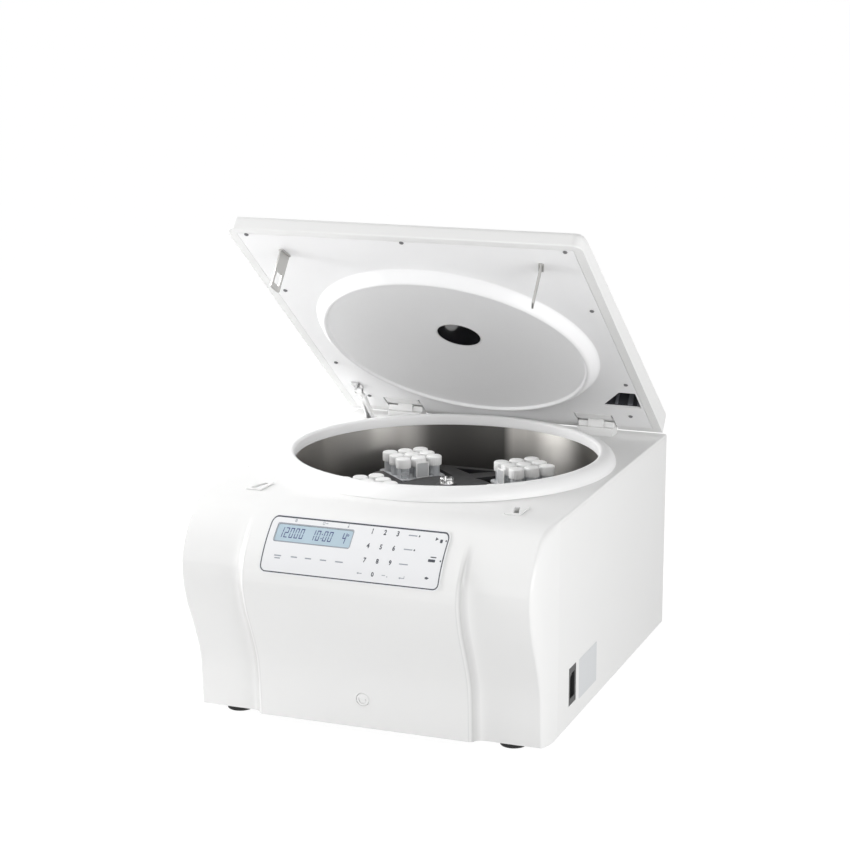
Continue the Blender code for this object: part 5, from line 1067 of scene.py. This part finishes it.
ring, hole = eye(0, 0.0021)
rod = turn([(0, 0.076), (0.0036, 0.076), (0.004, 0.0755), (0.004, 0.0035), (0, 0.0035)], (0, 0), 32)
rod = carved(joined(ring, rod), hole)
show("strut_piston_rod", strut_frame(rod), BRIGHT, "strut_lower", ["strut_rod"])
ring, hole = eye(reach, 0.0036)
low = reach - 0.071
barrel = [(0.0045, low), (0.0058, low), (0.0065, low + 0.0008), (0.0065, reach - 0.0135),
          (0.0058, reach - 0.0118), (0.0042, reach - 0.0112), (0.0042, reach - 0.0035),
          (0, reach - 0.0035), (0, reach - 0.016), (0.0045, reach - 0.016)]
barrel = carved(joined(turn(barrel[::-1], (0, 0), 40), ring), hole)
show("strut_tube", strut_frame(barrel), TUBE, "strut_upper", ["strut_barrel"])
print("strut:", round(reach, 4), "m from pin to pin")

# %% [markdown]
# ## The keypad and its display
# A printed polyester film covers the upper middle of the front: a steel-blue display at the left and
# rows of keys at the right. The print is real geometry, a few hundredths of a millimetre thick, laid
# on the same curve as the moulding. An image would be quicker, but shapes stay sharp at any size and
# need no file.

# %% Lay the film and the display
FILM_LOW, FILM_HIGH, PRINT_THICK = GAP, 0.0011, 0.00006
LCD = ((-0.1124, 0.2620), (-0.0069, 0.2795))


def around_lcd(more):
    """The display's two corners, moved out by an amount."""
    return (LCD[0][0] - more, LCD[0][1] - more), (LCD[1][0] + more, LCD[1][1] + more)


film_edge = rounded((-0.125, 0.2238), (0.125, 0.2890), 0.009, 10)
film = flat([film_edge, rounded(*around_lcd(GAP), 0.0023)], FILM_LOW, FILM_HIGH, "Y")
show("keypad_film_sheet", wrapped(film), FILM, "case", ["keypad_film"], degrees=60)
screen = wrapped(flat([rounded(*LCD, 0.002)], -0.0024, 0.0006, "Y"))
show("display_screen", screen, SCREEN, "case", ["display_window"], degrees=60)


def printed(name, outlines, material, stand=FILM_HIGH):
    """Print flat shapes on the film. Each is a list of an outline and its holes."""
    shapes = [flat(shape, stand + 0.00001, stand + PRINT_THICK, "Y") for shape in outlines]
    show(name, wrapped(merged(*shapes), 0.004), material, "case", degrees=60)


def frame_of(low, high, radius, width):
    inner = rounded((low[0] + width, low[1] + width), (high[0] - width, high[1] - width),
                    max(radius - width, 0.0002), 10)
    return [rounded(low, high, radius, 10), inner]


printed("film_border", [frame_of((-0.1236, 0.2252), (0.1236, 0.2876), 0.0078, 0.0015)], INK)
printed("screen_frame", [frame_of(*around_lcd(0.0014), 0.0028, 0.0011)], PALE_INK)
print("film:", round((FILM_HIGH - FILM_LOW) * 1000, 2), "mm thick")

# %% [markdown]
# ## The display's digits
# The speed and the other values are seven-segment signs. A text object would need a face that has
# them, while seven bars and a small table of which ones are lit make every digit.

# %% Light the display's digits
SEGMENTS = {"0": "abcdef", "1": "bc", "2": "abged", "4": "fgbc", "7": "abc"}


def digit(sign, x, z):
    """The lit bars of one seven-segment digit, leaning a little."""
    width, height, bar = 0.0055, 0.0114, 0.0017
    half = height / 2
    places = {"a": (0, height - bar, width, height), "g": (0, half - bar / 2, width, half + bar / 2),
              "d": (0, 0, width, bar), "f": (0, half, bar, height), "e": (0, 0, bar, half),
              "b": (width - bar, half, width, height), "c": (width - bar, 0, width, half)}
    made = []
    for key in SEGMENTS[sign]:
        x0, z0, x1, z1 = places[key]
        trim = bar * 0.22
        corners = [(x0 + trim, z0 + trim), (x1 - trim, z0 + trim), (x1 - trim, z1 - trim),
                   (x0 + trim, z1 - trim)]
        made.append([[(x + a + b * 0.12, z + b) for a, b in corners]])
    return made


SIGN_Z, PITCH_X, COLON_GAP, MINUTES_X = 0.2655, 0.0072, 0.0028, -0.0640
marks = []
for text, start in (("12000", -0.1085), ("1000", MINUTES_X), ("4", -0.0205)):
    for k, sign in enumerate(text):
        gap = COLON_GAP if text == "1000" and k > 1 else 0
        marks += digit(sign, start + k * PITCH_X + gap, SIGN_Z)
marks += [[rounded((MINUTES_X + 0.0153, SIGN_Z + up), (MINUTES_X + 0.0165, SIGN_Z + 0.0012 + up), 0.0003, 3)]
          for up in (0.0025, 0.0068)]
marks += [frame_of((-0.0135, 0.2735), (-0.0112, 0.2758), 0.0011, 0.0006)]
printed("display_digits", marks, SEGMENT, 0.0006)
print("display:", len(marks), "bars and dots")

# %% [markdown]
# ## The keys
# The number keys are figures from the built-in face, turned into thin solids. The other keys carry
# only bars, dots and arrows, which small functions draw as flat outlines, so no word is printed.

# %% Print the keys
def lettered(text, x, z, size):
    """A number from the built-in face, as outlines are: flat, in x and z, centred."""
    curve = bpy.data.curves.new("number", "FONT")
    curve.body, curve.size, curve.align_x, curve.align_y = text, size, "CENTER", "CENTER"
    curve.extrude, curve.fill_mode, curve.resolution_u, curve.offset = 0.000025, "BOTH", 3, 0.00026
    made = from_curve(curve, FILM_HIGH + 0.000035, "Y")
    return shifted(made, x, 0, z)


columns, rows = (0.0187, 0.0363, 0.0539), (0.2810, 0.2660, 0.2505)
numbers = [lettered(str(1 + i + 3 * j), x, z, 0.0070)
           for j, z in enumerate(rows) for i, x in enumerate(columns)]
numbers.append(lettered("0", columns[1] - 0.0032, 0.2355, 0.0070))
show("key_numbers", wrapped(merged(*numbers), 0.02), INK, "case", degrees=60)


def bar(x, z, width, height=0.0014):
    return [rounded((x - width / 2, z - height / 2), (x + width / 2, z + height / 2), height * 0.45, 4)]


def dot(x, z, radius):
    return [arc((x, z), (radius, radius), 0, 340, 18)]


def arrow(x, z, size, turn_by=0.0):
    points = [(size, 0), (-size * 0.6, size * 0.75), (-size * 0.6, -size * 0.75)]
    c, s = math.cos(turn_by), math.sin(turn_by)
    return [[(x + a * c - b * s, z + a * s + b * c) for a, b in points]]


SOFT_KEYS = (-0.1014, 0.010), (-0.0784, 0.009), (-0.0586, 0.009), (-0.0375, 0.009), (-0.0152, 0.011)
keys = [bar(x, 0.2455, width) for x, width in SOFT_KEYS]
keys += [bar(-0.1014, 0.2427, 0.008)]
keys += [bar(x, z, 0.012, 0.0012) for x, z in ((0.0745, 0.281), (0.0735, 0.2665), (0.0722, 0.2505))]
keys += [bar(0.0158, 0.2355, 0.0055, 0.0008), arrow(0.0128, 0.2355, 0.0016, math.pi)]
keys += [bar(0.0482, 0.2360, 0.0050, 0.0008), dot(0.0530, 0.2348, 0.0007)]
keys += [bar(0.0735, 0.2350, 0.0060, 0.0008), bar(0.0763, 0.2362, 0.0009, 0.0030),
         arrow(0.0702, 0.2350, 0.0017, math.pi)]
printed("key_marks", keys, PALE_INK)
symbols = [arrow(0.1075, 0.2800, 0.0024), [rounded((0.1125, 0.2765), (0.1160, 0.2800), 0.0004, 3)]]
symbols += [[rounded((0.1035, 0.2560), (0.1130, 0.2590), 0.0006, 3)], bar(0.1098, 0.2612, 0.0080, 0.0012)]
symbols += [arrow(0.1072, 0.2382, 0.0024), [rounded((0.1040, 0.2370), (0.1056, 0.2394), 0.0003, 3)]]
symbols += [dot(x, z, 0.0010)
            for x, z in ((0.0834, 0.281), (0.0820, 0.2665), (0.1204, 0.279), (0.120, 0.258))]
printed("key_symbols", symbols, INK)
icons = [frame_of((-0.0915, 0.2825), (-0.0881, 0.2857), 0.0016, 0.0005), bar(-0.0898, 0.2841, 0.0010, 0.0022)]
icons += [frame_of((-0.0522, 0.2825), (-0.0490, 0.2857), 0.0016, 0.0005),
          bar(-0.0462, 0.2841, 0.0030, 0.0007)]
icons += [bar(-0.0160, 0.2841, 0.0007, 0.0034), dot(-0.0160, 0.2830, 0.0009)]
printed("film_icons", icons, PALE_INK)
print("printed:", len(numbers), "numbers and", len(keys) + len(symbols) + len(icons), "marks")

# %% [markdown]
# ## The release cap and the side plate
# Low on the front a small round cap covers the cord that opens the lid without power. A thin blank
# plate sits beside the mains switch. Both are simple, but a rounded rim and a thin edge keep them
# from looking painted on.

# %% Fit the cap and the plate
cap_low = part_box("release_plug")[0]
cap = turn([(0, 0.009), (0.0088, 0.009), (0.0088, 0.0012), (0.0080, 0.0003), (0.0068, 0), (0, 0)], (0, 0), 48)
pull = [*arc((0, 0), (0.0056, 0.0056), -20, 200, 24), *reversed(arc((0, 0), (0.0042, 0.0042), -20, 200, 24))]
cap = carved(cap, flat([pull], -0.002, 0.0012))
cap = moved(cap, Matrix.Translation((0, cap_low.y, PLUG_Z)) @ Matrix.Rotation(-math.pi / 2, 4, "X"))
show("release_cap", cap, PAINT, "plug", ["release_plug"], degrees=40)
plate = flat([rounded((-0.117, 0.031), (-0.036, 0.087), 0.0015, 4)], HALF, HALF + 0.0003, "X")
show("rating_plate_blank", plate, PLATE, "case")
print("cap:", 2 * 0.0088, "m across; plate at x", HALF)

# %% [markdown]
# ## The floor
# The machine stands on a seamless white sweep, as a catalogue picture is taken. A floor as bright as
# the page could be reached with more light, but that would burn out the white case, so the camera
# sees the floor's own brightness and the machine gets a plain level from it.

# %% Lay the floor
FLOOR_PAINT, FLOOR_GLOW, FLOOR_HALF = 0.72, 1.10, 40


def camera_share(tree):
    """One where the camera looks, directly, in a mirror or through glass, and nought elsewhere."""
    path = tree.nodes.new("ShaderNodeLightPath")
    seen = Wire(tree, path.outputs["Is Camera Ray"])
    for ray in ("Is Glossy Ray", "Is Transmission Ray"):
        seen = seen.maths("MAXIMUM", seen, Wire(tree, path.outputs[ray]))
    return seen


def stage_finish():
    made = bpy.data.materials.new("sweep_white")
    made.use_nodes = True
    tree = made.node_tree
    tree.nodes.clear()
    start = Wire(tree)
    paint = start.add("BsdfDiffuse", {}, {"Color": (FLOOR_PAINT, FLOOR_PAINT, FLOOR_PAINT, 1)})
    glow = start.add("Emission", {}, {"Color": (1, 1, 1, 1), "Strength": FLOOR_GLOW})
    both = start.add("MixShader", {}, {0: camera_share(tree) * 0.72 + 0.16, 1: paint, 2: glow})
    start.add("OutputMaterial", {}, {"Surface": both})
    return made


square_floor = [(-FLOOR_HALF, -FLOOR_HALF), (FLOOR_HALF, -FLOOR_HALF), (FLOOR_HALF, FLOOR_HALF),
                (-FLOOR_HALF, FLOOR_HALF)]
floor_mesh = loft([[(x, y, z) for x, y in square_floor] for z in (-0.01, 0)])
floor_piece = solid(floor_mesh, "studio_floor")
floor_mesh.materials.append(stage_finish())
floor_piece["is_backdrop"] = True
print("floor:", 2 * FLOOR_HALF, "m square")

# %% [markdown]
# ## The light
# An even white surround gives the plain level. Two soft lamps stand at each side, one high and one
# low, and a weak one in front reaches under the open lid. One strong lamp would be simpler, but it
# would throw a hard shadow that the photo doesn't have.

# %% Light the world
WORLD_LEVEL = 0.40
world = bpy.data.worlds.new("studio")
bpy.context.scene.world = world
world.use_nodes = True
world.node_tree.nodes.clear()
start = Wire(world.node_tree)
plain = start.add("Background", {}, {"Color": (1, 1, 1, 1), "Strength": WORLD_LEVEL})
white = start.add("Background", {}, {"Color": (1, 1, 1, 1), "Strength": 1.0})
both = start.add("MixShader", {}, {0: camera_share(world.node_tree), 1: plain, 2: white})
start.add("OutputWorld", {}, {"Surface": both})

LAMPS = (  # name, place, aim, width and height, watts
    ("left_box", (-1.9, -0.2, 1.3), (0, 0, 0.2), (0.9, 1.2), 36),
    ("left_low_box", (-1.9, -0.3, 0.6), (0, 0.1, 0.36), (1.2, 0.4), 27),
    ("right_box", (1.6, -1.5, 1.2), (0, 0, 0.2), (0.7, 1.2), 9.5),
    ("right_low_box", (1.8, -0.8, 0.6), (0, 0.05, 0.36), (1.2, 0.4), 12),
    ("front_box", (-0.9, -2.6, 0.45), (0, 0, 0.4), (1.6, 0.8), 6.5),
)
for name, place_at, aim, (width, height), watts in LAMPS:
    data = bpy.data.lights.new(name, "AREA")
    data.shape, data.size, data.size_y, data.energy = "RECTANGLE", width, height, watts
    item = bpy.data.objects.new(name, data)
    bpy.context.scene.collection.objects.link(item)
    item.location = place_at
    item.rotation_euler = (Vector(aim) - Vector(place_at)).to_track_quat("-Z", "Y").to_euler()
    item.visible_camera = False
print("lamps:", len(LAMPS))

# %% [markdown]
# ## The camera
# The photo was taken from the right and a little above, with a long lens. A camera could be set by
# eye, but this one's place, angles and lens were worked out from points in the photo, so that the
# render lies over it.

# %% Set the camera
EYE, LENS, SENSOR = (1.0447, -2.7682, 1.0303), 92.11, 36
TILT, TURN = 77.277, 20.9476
camera = bpy.data.cameras.new("camera")
camera.lens, camera.sensor_width = LENS, SENSOR
camera.clip_start, camera.clip_end = 0.1, 100
view = bpy.data.objects.new("camera", camera)
bpy.context.scene.collection.objects.link(view)
view.location = EYE
view.rotation_euler = (math.radians(TILT), 0, math.radians(TURN))
bpy.context.scene.camera = view
bpy.context.scene.view_settings.view_transform = "Standard"
print("camera:", round(Vector(EYE).length, 3), "m from the base's middle")

# %% [markdown]
# ## The size
# The dressed machine must be the imported machine's size. Its overall size is printed, rounded to a
# tenth of a millimetre.

# %% Print the size
low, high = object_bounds()
print("size:", [round(b - a, 4) for a, b in zip(low, high)])
